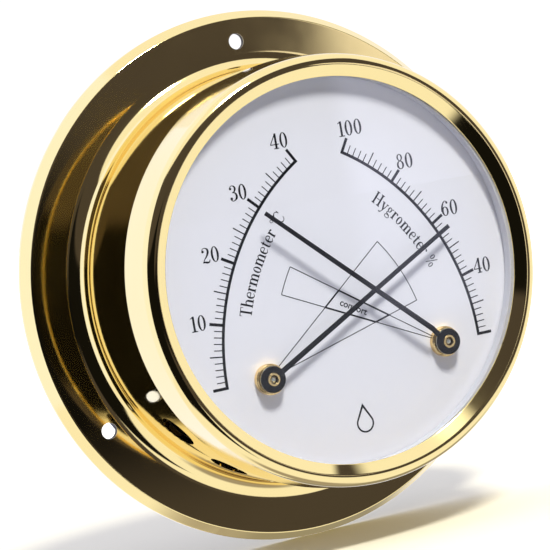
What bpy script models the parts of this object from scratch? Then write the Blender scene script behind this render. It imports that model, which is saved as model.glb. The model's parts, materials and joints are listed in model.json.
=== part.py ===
"""Dial hygrometer: a round brass wall instrument. A bimetal thermometer and a strip
hygrometer share one dial, and their two hands cross over it.

Every piece is modelled as the instrument lies on its back: x runs to the right of the
dial, y up the dial and z out of it, and the wall is the plane z = 0. One empty stands
the instrument up, so that it faces -Y with +Z up. The named sizes are millimetres and
are turned into metres where a mesh is made.
"""

import math

import bmesh
import bpy
from mathutils import Matrix, Vector

MM = 0.001
GAP = 0.3  # clearance between two pieces that touch or slide

# Case: wall, foot flange and the sleeve that carries the bezel
WALL_R = 42.6
FLANGE_WIDTH = 12.4  # from the wall to the flange's edge
FLANGE_H = 3.2
SHEET = 1.2
RIM_ROUND = 2.0
COVE_R = 3.8  # hollow curve from the flange up into the wall
SCREW_HOLE_R = 1.65
SCREW_HOLE_INSET = 6.3  # from the flange's edge
SCREW_HOLE_ANGLES = (90.0, 210.0, 330.0)
VENT_R = 3.9
VENT_COUNT = 7
VENT_STEP_DEG = 17.6
VENT_Z = 18.8
SLEEVE_T = 0.9
SLEEVE_RISE = 0.1  # sleeve's front edge past the gasket's back
SEAT_T = 1.7  # ledge that the dial plate rests on, along z
SEAT_WIDTH = 1.1  # bearing width of that ledge

# Bezel
DEPTH = 36.9  # wall plane to the bezel's crest
BEZEL_H = 9.7
BEZEL_PROUD = 0.25  # how far the bezel stands out past the wall
BEZEL_BREAK = 0.15  # broken edge at its rear and where its shoulder begins
SHOULDER_LEAD = (1.2, 3.2)  # where the side begins to lean in, below the crest's round
CREST_TRIM = 0.4  # crest round, smaller than the crest's inset by this
CREST_FALL = (0.55, 0.2)  # chamfer inside the crest, across and down
SKIRT_T = 0.65
CREST_INSET = 2.95  # bezel's outside to its crest
LIP_SINK = 1.6  # crest to the underside of the lip
LIP_EDGE = 0.25
LIP_WIDTH = 2.9  # how far the lip covers the glass

# Front stack, from the glass to the dial
GLASS_T = 1.25
GLASS_PLAY = 0.1  # glass smaller than the dial by this, on the radius
GASKET_T = 0.55
GASKET_WIDTH = 1.6
DIAL_SPACE = 3.75  # dial face to the back of the glass
SPACER_WIDTH = 2.4
DIAL_T = 1.0

# The two movements
ARBOR_INSET = 13.95  # dial's edge to an arbor
ARBOR_FALL_DEG = 43.0  # arbors below the horizontal, seen from the dial's centre
DIAL_SHIFT = 1.6  # the dial's layout stands this far to the right
ARBOR_R = 0.6
PIVOT_R = 0.4
PIVOT_END = 0.4  # pivot past the bridge's back
ARBOR_SINK = 0.35  # arbor's end inside the hand collet
BUSH_HEAD_R = 3.05
BUSH_HEAD_H = 1.1
BARREL_R = 2.3
BARREL_END = 0.4  # how far the bush reaches past its clip
NUT_R = 4.0
NUT_T = 1.5
PLATE_T = 1.0
PLATE_MARGIN = 4.0
LEVER_T = 1.0
LEVER_HUB_R = 4.6
LEVER_TIP_R = 2.0
LEVER_LENGTH = 15.0
CLIP_T = 0.5
CLIP_WIDTH = 1.6
COLLET_R = 2.2
COLLET_END = 0.3  # collet past the spiral's edges
SPIRAL_HEIGHT = 5.0
SPIRAL_ROOM = 1.0  # spiral to the bush
SPIRAL_T = 0.35
SPIRAL_PITCH = 1.35
STUD_R = 0.9
STUD_END = 0.5  # stud past the spiral's edge
BRIDGE_T = 1.4
BRIDGE_END_R = 3.5
BRIDGE_REACH = 12.5  # arbor to a bridge pillar
BRIDGE_PILLAR_R = 1.8
BRIDGE_PILLAR_H = 13.4
SMALL_SCREW_R = 1.0
SMALL_HEAD_R = 1.9
SMALL_HEAD_T = 0.9
SMALL_SCREW_REACH = 4.5  # length inside the pillar
TAP_DEPTH = 0.5  # tapped hole deeper than its screw
HEAD_BREAK = 0.2  # broken edge of a screw's head

# Hands
HUB_R = 2.6
HUB_H = 0.8
HAND_COLLET_R = 1.3
HAND_COLLET_RISE = 0.25  # collet in front of the hub
HAND_T = 0.3
ARM_SEAT = 0.4  # arm's back over the hub's back
HAND_ROOT_W = 1.25
HAND_TIP_W = 0.95
CRANK_RISE = 1.05  # the thermometer hand steps up to pass over the other one
CRANK_START = 0.2  # from the hub's edge to the step
CRANK_RUN = 2.0

# Back cover, its pillars and screws
COVER_T = 1.7
COVER_LAND = 0.5  # cover's bearing width on the underside of the flange
COVER_PILLAR_R = 2.5
COVER_PILLAR_INSET = 5.2  # dial's edge to a pillar
COVER_PILLAR_ANGLES = (30.0, 150.0, 270.0)
COVER_SCREW_R = 1.2
COVER_HEAD_R = 2.5
COVER_HEAD_T = 0.75
COVER_SCREW_LENGTH = 7.0

ROUND_STEPS = 48
SMALL_STEPS = 16

# Levels and radii that follow from the sizes above
FLANGE_R = WALL_R + FLANGE_WIDTH
SCREW_CIRCLE_R = FLANGE_R - SCREW_HOLE_INSET
CASE_BORE_R = WALL_R - SHEET
BEZEL_R = WALL_R + BEZEL_PROUD
BEZEL_REAR_Z = DEPTH - BEZEL_H
SKIRT_BORE_R = BEZEL_R - SKIRT_T
SLEEVE_R = SKIRT_BORE_R - GAP
SLEEVE_BORE_R = SLEEVE_R - SLEEVE_T
STACK_R = SLEEVE_BORE_R - GAP  # outside of everything that drops into the sleeve
LIP_Z = DEPTH - LIP_SINK
GLASS_Z = LIP_Z - GAP - GLASS_T
DIAL_FACE_Z = GLASS_Z - DIAL_SPACE
DIAL_BACK_Z = DIAL_FACE_Z - DIAL_T
SEAT_Z = DIAL_BACK_Z - GAP
SEAT_BORE_R = STACK_R - SEAT_WIDTH
SLEEVE_TOP_Z = GLASS_Z - GAP - GASKET_T + SLEEVE_RISE
GLASS_R = STACK_R - GLASS_PLAY

ARBOR_CIRCLE_R = STACK_R - ARBOR_INSET
ARBOR_HALF_SPAN = ARBOR_CIRCLE_R * math.cos(math.radians(ARBOR_FALL_DEG))
ARBOR_Y = -ARBOR_CIRCLE_R * math.sin(math.radians(ARBOR_FALL_DEG))
PLATE_Z = DIAL_BACK_Z - GAP - PLATE_T
NUT_Z = PLATE_Z - GAP - NUT_T
LEVER_Z = NUT_Z - GAP - LEVER_T
CLIP_Z = LEVER_Z - GAP - CLIP_T
BARREL_Z = CLIP_Z - BARREL_END
SPIRAL_Z = BARREL_Z - SPIRAL_ROOM - SPIRAL_HEIGHT
PILLAR_Z = PLATE_Z - GAP - BRIDGE_PILLAR_H
BRIDGE_Z = PILLAR_Z - GAP - BRIDGE_T
HUB_Z = DIAL_FACE_Z + GAP + BUSH_HEAD_H + GAP
HAND_Z = HUB_Z + ARM_SEAT
COVER_R = WALL_R + COVE_R + COVER_LAND
COVER_PILLAR_CIRCLE_R = STACK_R - COVER_PILLAR_INSET
COVER_PILLAR_Z = COVER_T + GAP

# One entry for each movement: its side of the dial, where its hand and lever point
MOVEMENTS = {
    "thermometer": {"side": 1, "hand_deg": 137.9, "overhang": 8.4, "crank": CRANK_RISE},
    "hygrometer": {"side": -1, "hand_deg": 27.5, "overhang": 10.0, "crank": 0.0},
}

MATERIALS = {  # colour, roughness, metallic
    "polished_brass": ((0.90, 0.68, 0.30), 0.06, 1.0),
    "turned_brass": ((0.78, 0.58, 0.26), 0.30, 1.0),
    "clear_glass": ((0.95, 0.97, 0.97), 0.02, 0.0),
    "white_dial": ((0.86, 0.86, 0.90), 0.45, 0.0),
    "white_plastic": ((0.80, 0.80, 0.82), 0.50, 0.0),
    "black_hand": ((0.012, 0.012, 0.013), 0.40, 0.0),
    "steel": ((0.62, 0.62, 0.64), 0.28, 1.0),
    "bimetal": ((0.66, 0.56, 0.46), 0.35, 1.0),
    "hygro_strip": ((0.72, 0.62, 0.40), 0.50, 0.0),
    "black_rubber": ((0.03, 0.03, 0.03), 0.75, 0.0),
    "black_plastic": ((0.04, 0.04, 0.045), 0.45, 0.0),
}


def clear_scene():
    for obj in list(bpy.data.objects):
        bpy.data.objects.remove(obj, do_unlink=True)


def make_collection(name):
    collection = bpy.data.collections.new(name)
    bpy.context.scene.collection.children.link(collection)
    return collection


def make_material(name):
    colour, roughness, metallic = MATERIALS[name]
    material = bpy.data.materials.new(name)
    material.use_nodes = True
    shader = material.node_tree.nodes["Principled BSDF"]
    shader.inputs["Base Color"].default_value = (*colour, 1.0)
    shader.inputs["Roughness"].default_value = roughness
    shader.inputs["Metallic"].default_value = metallic
    if name == "clear_glass":
        shader.inputs["Transmission Weight"].default_value = 1.0
    return material


def polar(radius, degrees):
    return radius * math.cos(math.radians(degrees)), radius * math.sin(math.radians(degrees))


def arc(centre, radius, start, end, steps):
    """Points of an arc in the (r, z) plane, in millimetres and degrees."""
    sweep = [start + (end - start) * i / steps for i in range(steps + 1)]
    return [(centre[0] + x, centre[1] + y) for x, y in (polar(radius, a) for a in sweep)]


def hull_outline(circles, step_deg=10.0):
    """Outline of the plate that wraps round bosses given as (x, y, radius)."""
    points = []
    for i in range(round(360 / step_deg)):
        nx, ny = polar(1.0, i * step_deg)
        x, y, r = max(circles, key=lambda c: c[0] * nx + c[1] * ny + c[2])
        points.append((x + r * nx, y + r * ny))
    return points


def relieved(outline, circles, step=1.0):
    """The outline with a hollow wherever a circle given as (x, y, radius) would meet it."""
    points = []
    for (x0, y0), (x1, y1) in zip(outline, outline[1:] + outline[:1]):
        count = math.ceil(math.dist((x0, y0), (x1, y1)) / step)
        points += [(x0 + (x1 - x0) * i / count, y0 + (y1 - y0) * i / count) for i in range(count)]
    for x, y, radius in circles:
        shares = [max(1.0, radius / math.dist((px, py), (x, y))) for px, py in points]
        points = [(x + (px - x) * share, y + (py - y) * share) for share, (px, py) in zip(shares, points)]
    return points


def circle_outline(x, y, radius, steps=SMALL_STEPS):
    return [(x + dx, y + dy) for dx, dy in (polar(radius, 360 * i / steps) for i in range(steps))]


class Bench:
    """Adds finished pieces to the instrument, each with its material and its parent."""

    def __init__(self):
        self.parts = make_collection("dial_hygrometer")
        self.cutters = make_collection("cutters")
        self.materials = {name: make_material(name) for name in MATERIALS}
        self.root = self.add_empty("instrument", None, (0, 0))
        self.root.rotation_euler = (math.radians(90), 0, 0)

    def add_empty(self, name, parent, place):
        empty = bpy.data.objects.new(name, None)
        empty.empty_display_size = 5 * MM
        self.parts.objects.link(empty)
        empty.parent = parent
        empty.location = (place[0] * MM, place[1] * MM, 0)
        return empty

    def add(self, name, data, material, parent=None):
        obj = bpy.data.objects.new(name, data)
        self.parts.objects.link(obj)
        obj.parent = parent or self.root
        data.materials.append(self.materials[material])
        return obj

    def helper(self, name, mesh, parent=None):
        """A shape that only cuts or joins another."""
        obj = bpy.data.objects.new(name, mesh)
        self.cutters.objects.link(obj)
        obj.parent = parent or self.root
        obj.hide_render = True
        obj.display_type = "WIRE"
        return obj

    def boolean(self, obj, other, operation):
        modifier = obj.modifiers.new(operation.lower(), "BOOLEAN")
        modifier.operation = operation
        modifier.object = other

    def turned(self, name, profile, material, steps=SMALL_STEPS, place=(0, 0), parent=None, helper=False):
        """A turned piece from its (r, z) outline. A closed outline makes a ring, and an outline
        that starts and ends on the axis makes a solid of revolution."""
        area = sum(a[0] * b[1] - b[0] * a[1] for a, b in zip(profile, profile[1:] + profile[:1]))
        points = profile[::-1] if area > 0 else profile
        on_axis = min(r for r, _ in profile) == 0
        if on_axis:
            while points[0][0] > 0 or points[-1][0] > 0:
                points = points[1:] + points[:1]
        mesh = bpy.data.meshes.new(name)
        edges = [(i, i + 1) for i in range(len(points) - 1)]
        if not on_axis:
            edges.append((len(points) - 1, 0))
        mesh.from_pydata([(r * MM, 0, z * MM) for r, z in points], edges, [])
        obj = self.helper(name, mesh, parent) if helper else self.add(name, mesh, material, parent)
        obj.location = (place[0] * MM, place[1] * MM, 0)
        screw = obj.modifiers.new("turn", "SCREW")
        screw.steps = screw.render_steps = steps
        screw.use_merge_vertices = True
        screw.merge_threshold = 1e-6
        screw.use_smooth_shade = False
        return obj

    def plate(self, name, outlines, z, thickness, material, place=(0, 0), parent=None):
        """A flat plate from its outline and the outlines of its holes."""
        curve = bpy.data.curves.new(name, "CURVE")
        curve.dimensions = "2D"
        curve.fill_mode = "BOTH"
        curve.extrude = thickness / 2 * MM
        for outline in outlines:
            spline = curve.splines.new("POLY")
            spline.points.add(len(outline) - 1)
            spline.use_cyclic_u = True
            for point, (x, y) in zip(spline.points, outline):
                point.co = (x * MM, y * MM, 0, 1)
        obj = self.add(name, curve, material, parent)
        obj.location = (place[0] * MM, place[1] * MM, (z + thickness / 2) * MM)
        return obj


def cylinders_mesh(name, cylinders, steps=20):
    """One mesh of separate cylinders, each (start, end, radius) in millimetres."""
    bm = bmesh.new()
    for start, end, radius in cylinders:
        start, end = Vector(start) * MM, Vector(end) * MM
        axis = end - start
        turn = axis.to_track_quat("Z", "Y").to_matrix().to_4x4()
        matrix = Matrix.Translation((start + end) / 2) @ turn
        bmesh.ops.create_cone(
            bm, cap_ends=True, segments=steps, radius1=radius * MM, radius2=radius * MM,
            depth=axis.length, matrix=matrix,
        )
    mesh = bpy.data.meshes.new(name)
    bm.to_mesh(mesh)
    bm.free()
    return mesh


def rod(radius, low, high, chamfer=0.0):
    """Outline of a solid turned rod."""
    return [(0, low), (radius, low), (radius, high - chamfer), (radius - chamfer, high), (0, high)]


def ring(inner, outer, low, high):
    return [(inner, low), (outer, low), (outer, high), (inner, high)]


def build_case(bench):
    cove_centre = (WALL_R + COVE_R, FLANGE_H + COVE_R)
    rim_centre = (FLANGE_R - RIM_ROUND, FLANGE_H - RIM_ROUND)
    step_z = BEZEL_REAR_Z - GAP
    lead = CASE_BORE_R - SEAT_BORE_R
    profile = [(SLEEVE_R, SLEEVE_TOP_Z), (SLEEVE_R, step_z), (WALL_R, step_z)]
    profile += arc(cove_centre, COVE_R, 180, 270, 6)
    profile += arc(rim_centre, RIM_ROUND, 90, 0, 4)
    profile += [(FLANGE_R, 0), (FLANGE_R - SHEET, 0)]
    profile += arc(rim_centre, RIM_ROUND - SHEET, 0, 90, 2)
    profile += arc(cove_centre, COVE_R + SHEET, 270, 180, 4)
    profile += [(CASE_BORE_R, SEAT_Z - SEAT_T - lead), (SEAT_BORE_R, SEAT_Z - SEAT_T)]
    profile += [(SEAT_BORE_R, SEAT_Z), (SLEEVE_BORE_R, SEAT_Z), (SLEEVE_BORE_R, SLEEVE_TOP_Z)]
    case = bench.turned("case", profile, "polished_brass", ROUND_STEPS)

    cuts = []
    first_vent = 270 - VENT_STEP_DEG * (VENT_COUNT - 1) / 2
    for i in range(VENT_COUNT):
        inner = polar(CASE_BORE_R - 5, first_vent + i * VENT_STEP_DEG)
        outer = polar(WALL_R + 5, first_vent + i * VENT_STEP_DEG)
        cuts.append(((*inner, VENT_Z), (*outer, VENT_Z), VENT_R))
    for angle in SCREW_HOLE_ANGLES:
        x, y = polar(SCREW_CIRCLE_R, angle)
        cuts.append(((x, y, -1), (x, y, FLANGE_H + 1), SCREW_HOLE_R))
    cutter = bench.helper("case_holes", cylinders_mesh("case_holes", cuts))
    bench.boolean(case, cutter, "DIFFERENCE")


def build_bezel(bench):
    """Snap-on front ring: its skirt covers the case's sleeve and its lip holds the glass."""
    crest_r = BEZEL_R - CREST_INSET
    lip_r = SLEEVE_BORE_R - GAP - LIP_WIDTH
    shoulder_z = DEPTH - CREST_INSET
    pocket_r = GLASS_R + GAP
    ledge_z = SLEEVE_TOP_Z + GAP
    near, far = SHOULDER_LEAD
    across, down = CREST_FALL
    profile = [(BEZEL_R - BEZEL_BREAK, BEZEL_REAR_Z), (BEZEL_R, BEZEL_REAR_Z + BEZEL_BREAK)]
    profile += [(BEZEL_R, shoulder_z - far), (BEZEL_R - BEZEL_BREAK, shoulder_z - near)]
    profile += arc((crest_r, shoulder_z), CREST_INSET - CREST_TRIM, 8, 98, 6)[:-1]
    profile += [(crest_r, DEPTH), (crest_r - across, DEPTH - down), (lip_r, LIP_Z + LIP_EDGE)]
    profile += [(lip_r, LIP_Z), (pocket_r, LIP_Z), (pocket_r, ledge_z)]
    profile += [(SKIRT_BORE_R, ledge_z), (SKIRT_BORE_R, BEZEL_REAR_Z)]
    bench.turned("bezel_ring", profile, "polished_brass", ROUND_STEPS)


def build_front_stack(bench):
    glass = [(0, GLASS_Z), (GLASS_R, GLASS_Z), (GLASS_R, GLASS_Z + GLASS_T), (0, GLASS_Z + GLASS_T)]
    bench.turned("glass", glass, "clear_glass", ROUND_STEPS)
    gasket_z = GLASS_Z - GAP - GASKET_T
    gasket = ring(STACK_R - GASKET_WIDTH, STACK_R, gasket_z, gasket_z + GASKET_T)
    bench.turned("glass_gasket", gasket, "black_rubber", ROUND_STEPS)
    spacer = ring(STACK_R - SPACER_WIDTH, STACK_R, DIAL_FACE_Z + GAP, gasket_z - GAP)
    bench.turned("spacer_ring", spacer, "white_plastic", ROUND_STEPS)
    holes = [circle_outline(*arbor_place(name), BARREL_R + GAP) for name in MOVEMENTS]
    edge = circle_outline(0, 0, STACK_R, ROUND_STEPS)
    bench.plate("dial_plate", [edge, *holes], DIAL_BACK_Z, DIAL_T, "white_dial")


def arbor_place(name):
    return DIAL_SHIFT + MOVEMENTS[name]["side"] * ARBOR_HALF_SPAN, ARBOR_Y


def bridge_ends(name):
    """The two pillar places of a movement's bridge, square to the line to the dial's centre."""
    x, y = arbor_place(name)
    along = 90 + math.degrees(math.atan2(ARBOR_Y, MOVEMENTS[name]["side"] * ARBOR_HALF_SPAN))
    dx, dy = polar(BRIDGE_REACH, along)
    return (x + dx, y + dy), (x - dx, y - dy)


def build_movement_plate(bench):
    bosses = [(*end, PLATE_MARGIN) for name in MOVEMENTS for end in bridge_ends(name)]
    holes = [circle_outline(*arbor_place(name), BARREL_R + GAP) for name in MOVEMENTS]
    pillars = [(*place, COVER_PILLAR_R + 2 * GAP) for place in cover_pillar_places()]
    outline = relieved(hull_outline(bosses), pillars)
    bench.plate("movement_plate", [outline, *holes], PLATE_Z, PLATE_T, "turned_brass")


def build_bearings(bench, name):
    """The fixed pieces of one movement: front bush and nut, and the rear bridge."""
    place = arbor_place(name)
    bore = ARBOR_R + GAP
    head_z = DIAL_FACE_Z + GAP
    bush = [(bore, BARREL_Z), (BARREL_R, BARREL_Z), (BARREL_R, head_z), (BUSH_HEAD_R, head_z)]
    bush += [(BUSH_HEAD_R, head_z + BUSH_HEAD_H), (bore, head_z + BUSH_HEAD_H)]
    bench.turned(f"{name}_bush", bush, "turned_brass", place=place)
    nut = [circle_outline(0, 0, NUT_R, 6), circle_outline(0, 0, BARREL_R + GAP)]
    bench.plate(f"{name}_bush_nut", nut, NUT_Z, NUT_T, "turned_brass", place)

    ends = bridge_ends(name)
    outline = hull_outline([(*end, BRIDGE_END_R) for end in ends])
    holes = [circle_outline(*end, SMALL_SCREW_R + GAP) for end in ends]
    holes.append(circle_outline(*place, PIVOT_R + GAP, 12))
    bench.plate(f"{name}_bridge", [outline, *holes], BRIDGE_Z, BRIDGE_T, "turned_brass")
    for number, end in enumerate(ends, 1):
        tapped = SMALL_SCREW_R + GAP
        top = PILLAR_Z + BRIDGE_PILLAR_H
        pillar = [(tapped, PILLAR_Z), (BRIDGE_PILLAR_R, PILLAR_Z), (BRIDGE_PILLAR_R, top), (0, top)]
        depth = PILLAR_Z + SMALL_SCREW_REACH + TAP_DEPTH
        pillar += [(0, depth), (tapped, depth)]
        bench.turned(f"{name}_pillar_{number}", pillar, "turned_brass", place=end)
        build_screw(bench, f"{name}_bridge_screw_{number}", end, BRIDGE_Z - GAP, SMALL_HEAD_T,
                    SMALL_HEAD_R, SMALL_SCREW_R, BRIDGE_T + SMALL_SCREW_REACH)


def build_screw(bench, name, place, seat_z, head_t, head_r, shank_r, length):
    """A slotted screw driven from behind, with its head below seat_z."""
    low = seat_z - head_t
    profile = [(0, low), (head_r - HEAD_BREAK, low), (head_r, low + HEAD_BREAK), (head_r, seat_z)]
    profile += [(shank_r, seat_z), (shank_r, seat_z + length), (0, seat_z + length)]
    screw = bench.turned(name, profile, "steel", place=place)
    slot = bmesh.new()
    bmesh.ops.create_cube(slot, size=MM)
    bmesh.ops.scale(slot, vec=(head_r * 3, head_r * 0.3, head_t), verts=slot.verts)
    mesh = bpy.data.meshes.new(f"{name}_slot")
    slot.to_mesh(mesh)
    slot.free()
    cutter = bench.helper(f"{name}_slot", mesh)
    cutter.location = (place[0] * MM, place[1] * MM, low * MM)
    bench.boolean(screw, cutter, "DIFFERENCE")


def build_adjuster(bench, name, centre):
    """Calibration lever that turns stiffly on the bush, with the spiral's stud and the spiral."""
    stud_at = spiral_outer_r() + SPIRAL_T / 2 + GAP + STUD_R
    outline = hull_outline([(0, 0, LEVER_HUB_R), (LEVER_LENGTH, 0, LEVER_TIP_R)])
    holes = [circle_outline(0, 0, BARREL_R + GAP)]
    bench.plate(f"{name}_lever", [outline, *holes], LEVER_Z, LEVER_T, "turned_brass", parent=centre)
    stud = rod(STUD_R, SPIRAL_Z - STUD_END, LEVER_Z - GAP)
    bench.turned(f"{name}_stud", stud, "steel", 16, (stud_at, 0), centre)
    clip = ring(BARREL_R + GAP, BARREL_R + GAP + CLIP_WIDTH, CLIP_Z, CLIP_Z + CLIP_T)
    bench.turned(f"{name}_lever_clip", clip, "steel", place=arbor_place(name))
    build_spiral(bench, name, centre)


def spiral_outer_r():
    """The spiral fills the room between its collet and the bridge's pillars."""
    return BRIDGE_REACH - BRIDGE_PILLAR_R - GAP - SPIRAL_T


def build_spiral(bench, name, centre):
    """A flat ribbon wound in an even spiral, its outer end beside the stud."""
    inner = COLLET_R + GAP + SPIRAL_T
    turns = (spiral_outer_r() - inner) / SPIRAL_PITCH
    steps = round(turns * 14)
    bm = bmesh.new()
    rows = []
    for i in range(steps + 1):
        share = i / steps
        x, y = polar(inner + (spiral_outer_r() - inner) * share, 360 * turns * (share - 1))
        rows.append([bm.verts.new((x * MM, y * MM, z * MM)) for z in (SPIRAL_Z, SPIRAL_Z + SPIRAL_HEIGHT)])
    for a, b in zip(rows, rows[1:]):
        bm.faces.new((a[0], b[0], b[1], a[1]))
    mesh = bpy.data.meshes.new(f"{name}_spiral")
    bm.to_mesh(mesh)
    bm.free()
    material = "bimetal" if name == "thermometer" else "hygro_strip"
    spiral = bench.add(f"{name}_spiral", mesh, material, centre)
    wall = spiral.modifiers.new("strip", "SOLIDIFY")
    wall.thickness = SPIRAL_T * MM
    wall.offset = 0


def build_hand(bench, name, centre):
    """The turning pieces: arbor, spiral collet, hand collet and the black hand."""
    values = MOVEMENTS[name]
    front_z = HUB_Z + HUB_H + HAND_COLLET_RISE
    low, high = BRIDGE_Z - PIVOT_END, front_z - ARBOR_SINK
    step = BRIDGE_Z + BRIDGE_T + GAP
    arbor = [(0, low), (PIVOT_R, low), (PIVOT_R, step), (ARBOR_R, step), (ARBOR_R, high), (0, high)]
    bench.turned(f"{name}_arbor", arbor, "steel", 16, parent=centre)
    low, high = SPIRAL_Z - COLLET_END, SPIRAL_Z + SPIRAL_HEIGHT + COLLET_END
    collet = ring(ARBOR_R + GAP, COLLET_R, low, high)
    bench.turned(f"{name}_spiral_collet", collet, "turned_brass", parent=centre)
    hand_collet = ring(ARBOR_R + GAP, HAND_COLLET_R, HUB_Z, front_z)
    bench.turned(f"{name}_hand_collet", hand_collet, "turned_brass", parent=centre)

    length = 2 * ARBOR_HALF_SPAN + values["overhang"]
    bore = HAND_COLLET_R + GAP
    hub = ring(bore, HUB_R, HUB_Z, HUB_Z + HUB_H)
    disc = bench.turned(f"{name}_hand", hub, "black_hand", 32, parent=centre)
    disc.rotation_euler = (0, 0, math.radians(values["hand_deg"]))
    arm = bench.helper(f"{name}_arm", arm_mesh(name, (bore + HUB_R) / 2, length, values["crank"]), centre)
    arm.rotation_euler = disc.rotation_euler
    wall = arm.modifiers.new("sheet", "SOLIDIFY")
    wall.thickness = HAND_T * MM
    wall.offset = 0
    bench.boolean(disc, arm, "UNION")


def arm_mesh(name, start, length, rise):
    """Middle surface of a hand's arm along +x, stepping up by rise just past the hub."""
    z = HAND_Z + HAND_T / 2
    stations = [(start, z), (length, z)]
    if rise:
        knee = HUB_R + CRANK_START
        stations = [(start, z), (knee, z), (knee + CRANK_RUN, z + rise), (length, z + rise)]
    bm = bmesh.new()
    rows = []
    for x, height in stations:
        share = x / length
        half = (HAND_ROOT_W + (HAND_TIP_W - HAND_ROOT_W) * share) / 2
        rows.append([bm.verts.new((x * MM, y * MM, height * MM)) for y in (-half, half)])
    for a, b in zip(rows, rows[1:]):
        bm.faces.new((a[0], b[0], b[1], a[1]))
    mesh = bpy.data.meshes.new(f"{name}_arm")
    bm.to_mesh(mesh)
    bm.free()
    return mesh


def build_movement(bench, name):
    build_bearings(bench, name)
    x, y = arbor_place(name)
    centre = bench.add_empty(f"{name}_axis", bench.root, (x, y))
    build_hand(bench, name, centre)
    adjuster = bench.add_empty(f"{name}_adjuster_axis", bench.root, (x, y))
    adjuster.rotation_euler = (0, 0, math.atan2(-ARBOR_Y, -MOVEMENTS[name]["side"] * ARBOR_HALF_SPAN))
    build_adjuster(bench, name, adjuster)


def cover_pillar_places():
    return [polar(COVER_PILLAR_CIRCLE_R, angle) for angle in COVER_PILLAR_ANGLES]


def build_back(bench):
    """Back cover, and the pillars and screws that clamp it and the dial against the case."""
    places = cover_pillar_places()
    cover = bench.turned("back_cover", rod(COVER_R, 0, COVER_T), "black_plastic", ROUND_STEPS)
    sink = GAP / 2 + COVER_HEAD_T + GAP
    cuts = []
    for x, y in places:
        cuts.append(((x, y, -1), (x, y, sink), COVER_HEAD_R + GAP))
        cuts.append(((x, y, sink - GAP), (x, y, COVER_T + 1), COVER_SCREW_R + GAP))
    for i, (start, end, radius) in enumerate(cuts):
        mesh = cylinders_mesh(f"cover_hole_{i}", [(start, end, radius)])
        bench.boolean(cover, bench.helper(f"cover_hole_{i}", mesh), "DIFFERENCE")

    tapped = COVER_SCREW_R + GAP
    depth = COVER_SCREW_LENGTH + TAP_DEPTH
    for number, place in enumerate(places, 1):
        pillar = [(tapped, COVER_PILLAR_Z), (COVER_PILLAR_R, COVER_PILLAR_Z), (COVER_PILLAR_R, SEAT_Z)]
        pillar += [(0, SEAT_Z), (0, depth), (tapped, depth)]
        bench.turned(f"cover_pillar_{number}", pillar, "turned_brass", place=place)
        build_screw(bench, f"cover_screw_{number}", place, GAP / 2 + COVER_HEAD_T, COVER_HEAD_T,
                    COVER_HEAD_R, COVER_SCREW_R, COVER_SCREW_LENGTH - 1)


def shade_round_pieces(bench):
    for obj in bench.parts.objects:
        if obj.type == "MESH" and obj.data.polygons:
            obj.data.shade_smooth()
            obj.data.set_sharp_from_angle(angle=math.radians(35))


def main():
    clear_scene()
    bench = Bench()
    build_case(bench)
    build_bezel(bench)
    build_front_stack(bench)
    build_movement_plate(bench)
    for name in MOVEMENTS:
        build_movement(bench, name)
    build_back(bench)
    shade_round_pieces(bench)


main()
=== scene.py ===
"""Looks of a round brass wall instrument that shows air temperature and humidity on one dial.

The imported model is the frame: every place and overall size is read from its pieces. Around it
this script turns the polished brass case and bezel, glazes the dial, prints its two scales,
makes the hubs and the two black hands, closes the back, dresses the movement inside, and sets
up the studio. Sizes are millimetres, depths are counted out from the wall, and both become
metres where a mesh is made.
"""

import json
import logging
import math
from collections.abc import Callable, Iterable, Sequence
from dataclasses import dataclass, field, replace
from enum import Enum

import bmesh
import bpy
from mathutils import Matrix, Vector


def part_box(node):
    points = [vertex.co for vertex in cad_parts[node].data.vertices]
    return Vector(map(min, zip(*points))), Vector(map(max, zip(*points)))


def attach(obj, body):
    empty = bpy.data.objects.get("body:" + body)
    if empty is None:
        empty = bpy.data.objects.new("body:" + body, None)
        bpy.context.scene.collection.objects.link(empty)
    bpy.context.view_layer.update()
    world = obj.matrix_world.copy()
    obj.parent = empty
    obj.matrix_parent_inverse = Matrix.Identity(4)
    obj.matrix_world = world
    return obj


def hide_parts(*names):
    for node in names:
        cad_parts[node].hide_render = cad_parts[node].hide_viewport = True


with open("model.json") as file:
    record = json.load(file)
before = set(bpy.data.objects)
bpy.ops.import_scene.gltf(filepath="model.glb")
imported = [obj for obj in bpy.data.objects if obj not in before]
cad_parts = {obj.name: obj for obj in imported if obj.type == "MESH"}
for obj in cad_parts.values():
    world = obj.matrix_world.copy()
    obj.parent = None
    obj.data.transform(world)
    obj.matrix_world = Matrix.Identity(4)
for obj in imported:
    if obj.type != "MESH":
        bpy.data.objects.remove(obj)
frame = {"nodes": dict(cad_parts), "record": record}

MM = 0.001
WELD = 2e-6  # metres: vertices closer than this are one
ROUND_STEPS = 192
SMALL_STEPS = 64
ARC_STEP_DEG = 7.5
HOLD = 0.12  # keeps a flat stretch flat beside a rounded corner
SMOOTH_DEG = 32.0  # the sharpest edge that is still shaded smooth

Point = tuple[float, float]
Corner = tuple[float, float, float]
Knot = tuple[float, float, float]
Stroke = Sequence[Knot]
Outline = list[Point]
Shape = list[Outline]
RGB = tuple[float, float, float]

log = logging.getLogger("instrument")


class Movement(Enum):
    """The two movements on the dial, by the name that their pieces carry."""

    THERMOMETER = "thermometer"
    HYGROMETER = "hygrometer"


class Tick(Enum):
    """Kinds of scale mark, as (width, length from the middle of the arc)."""

    FINE = (0.19, 1.95)
    MIDDLE = (0.24, 2.9)
    HEAVY = (0.58, 3.0)


class Cut(Enum):
    """What a boolean does with the other shape."""

    AWAY = "DIFFERENCE"
    JOIN = "UNION"


# ---------------------------------------------------------------- measuring and outlines


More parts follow.
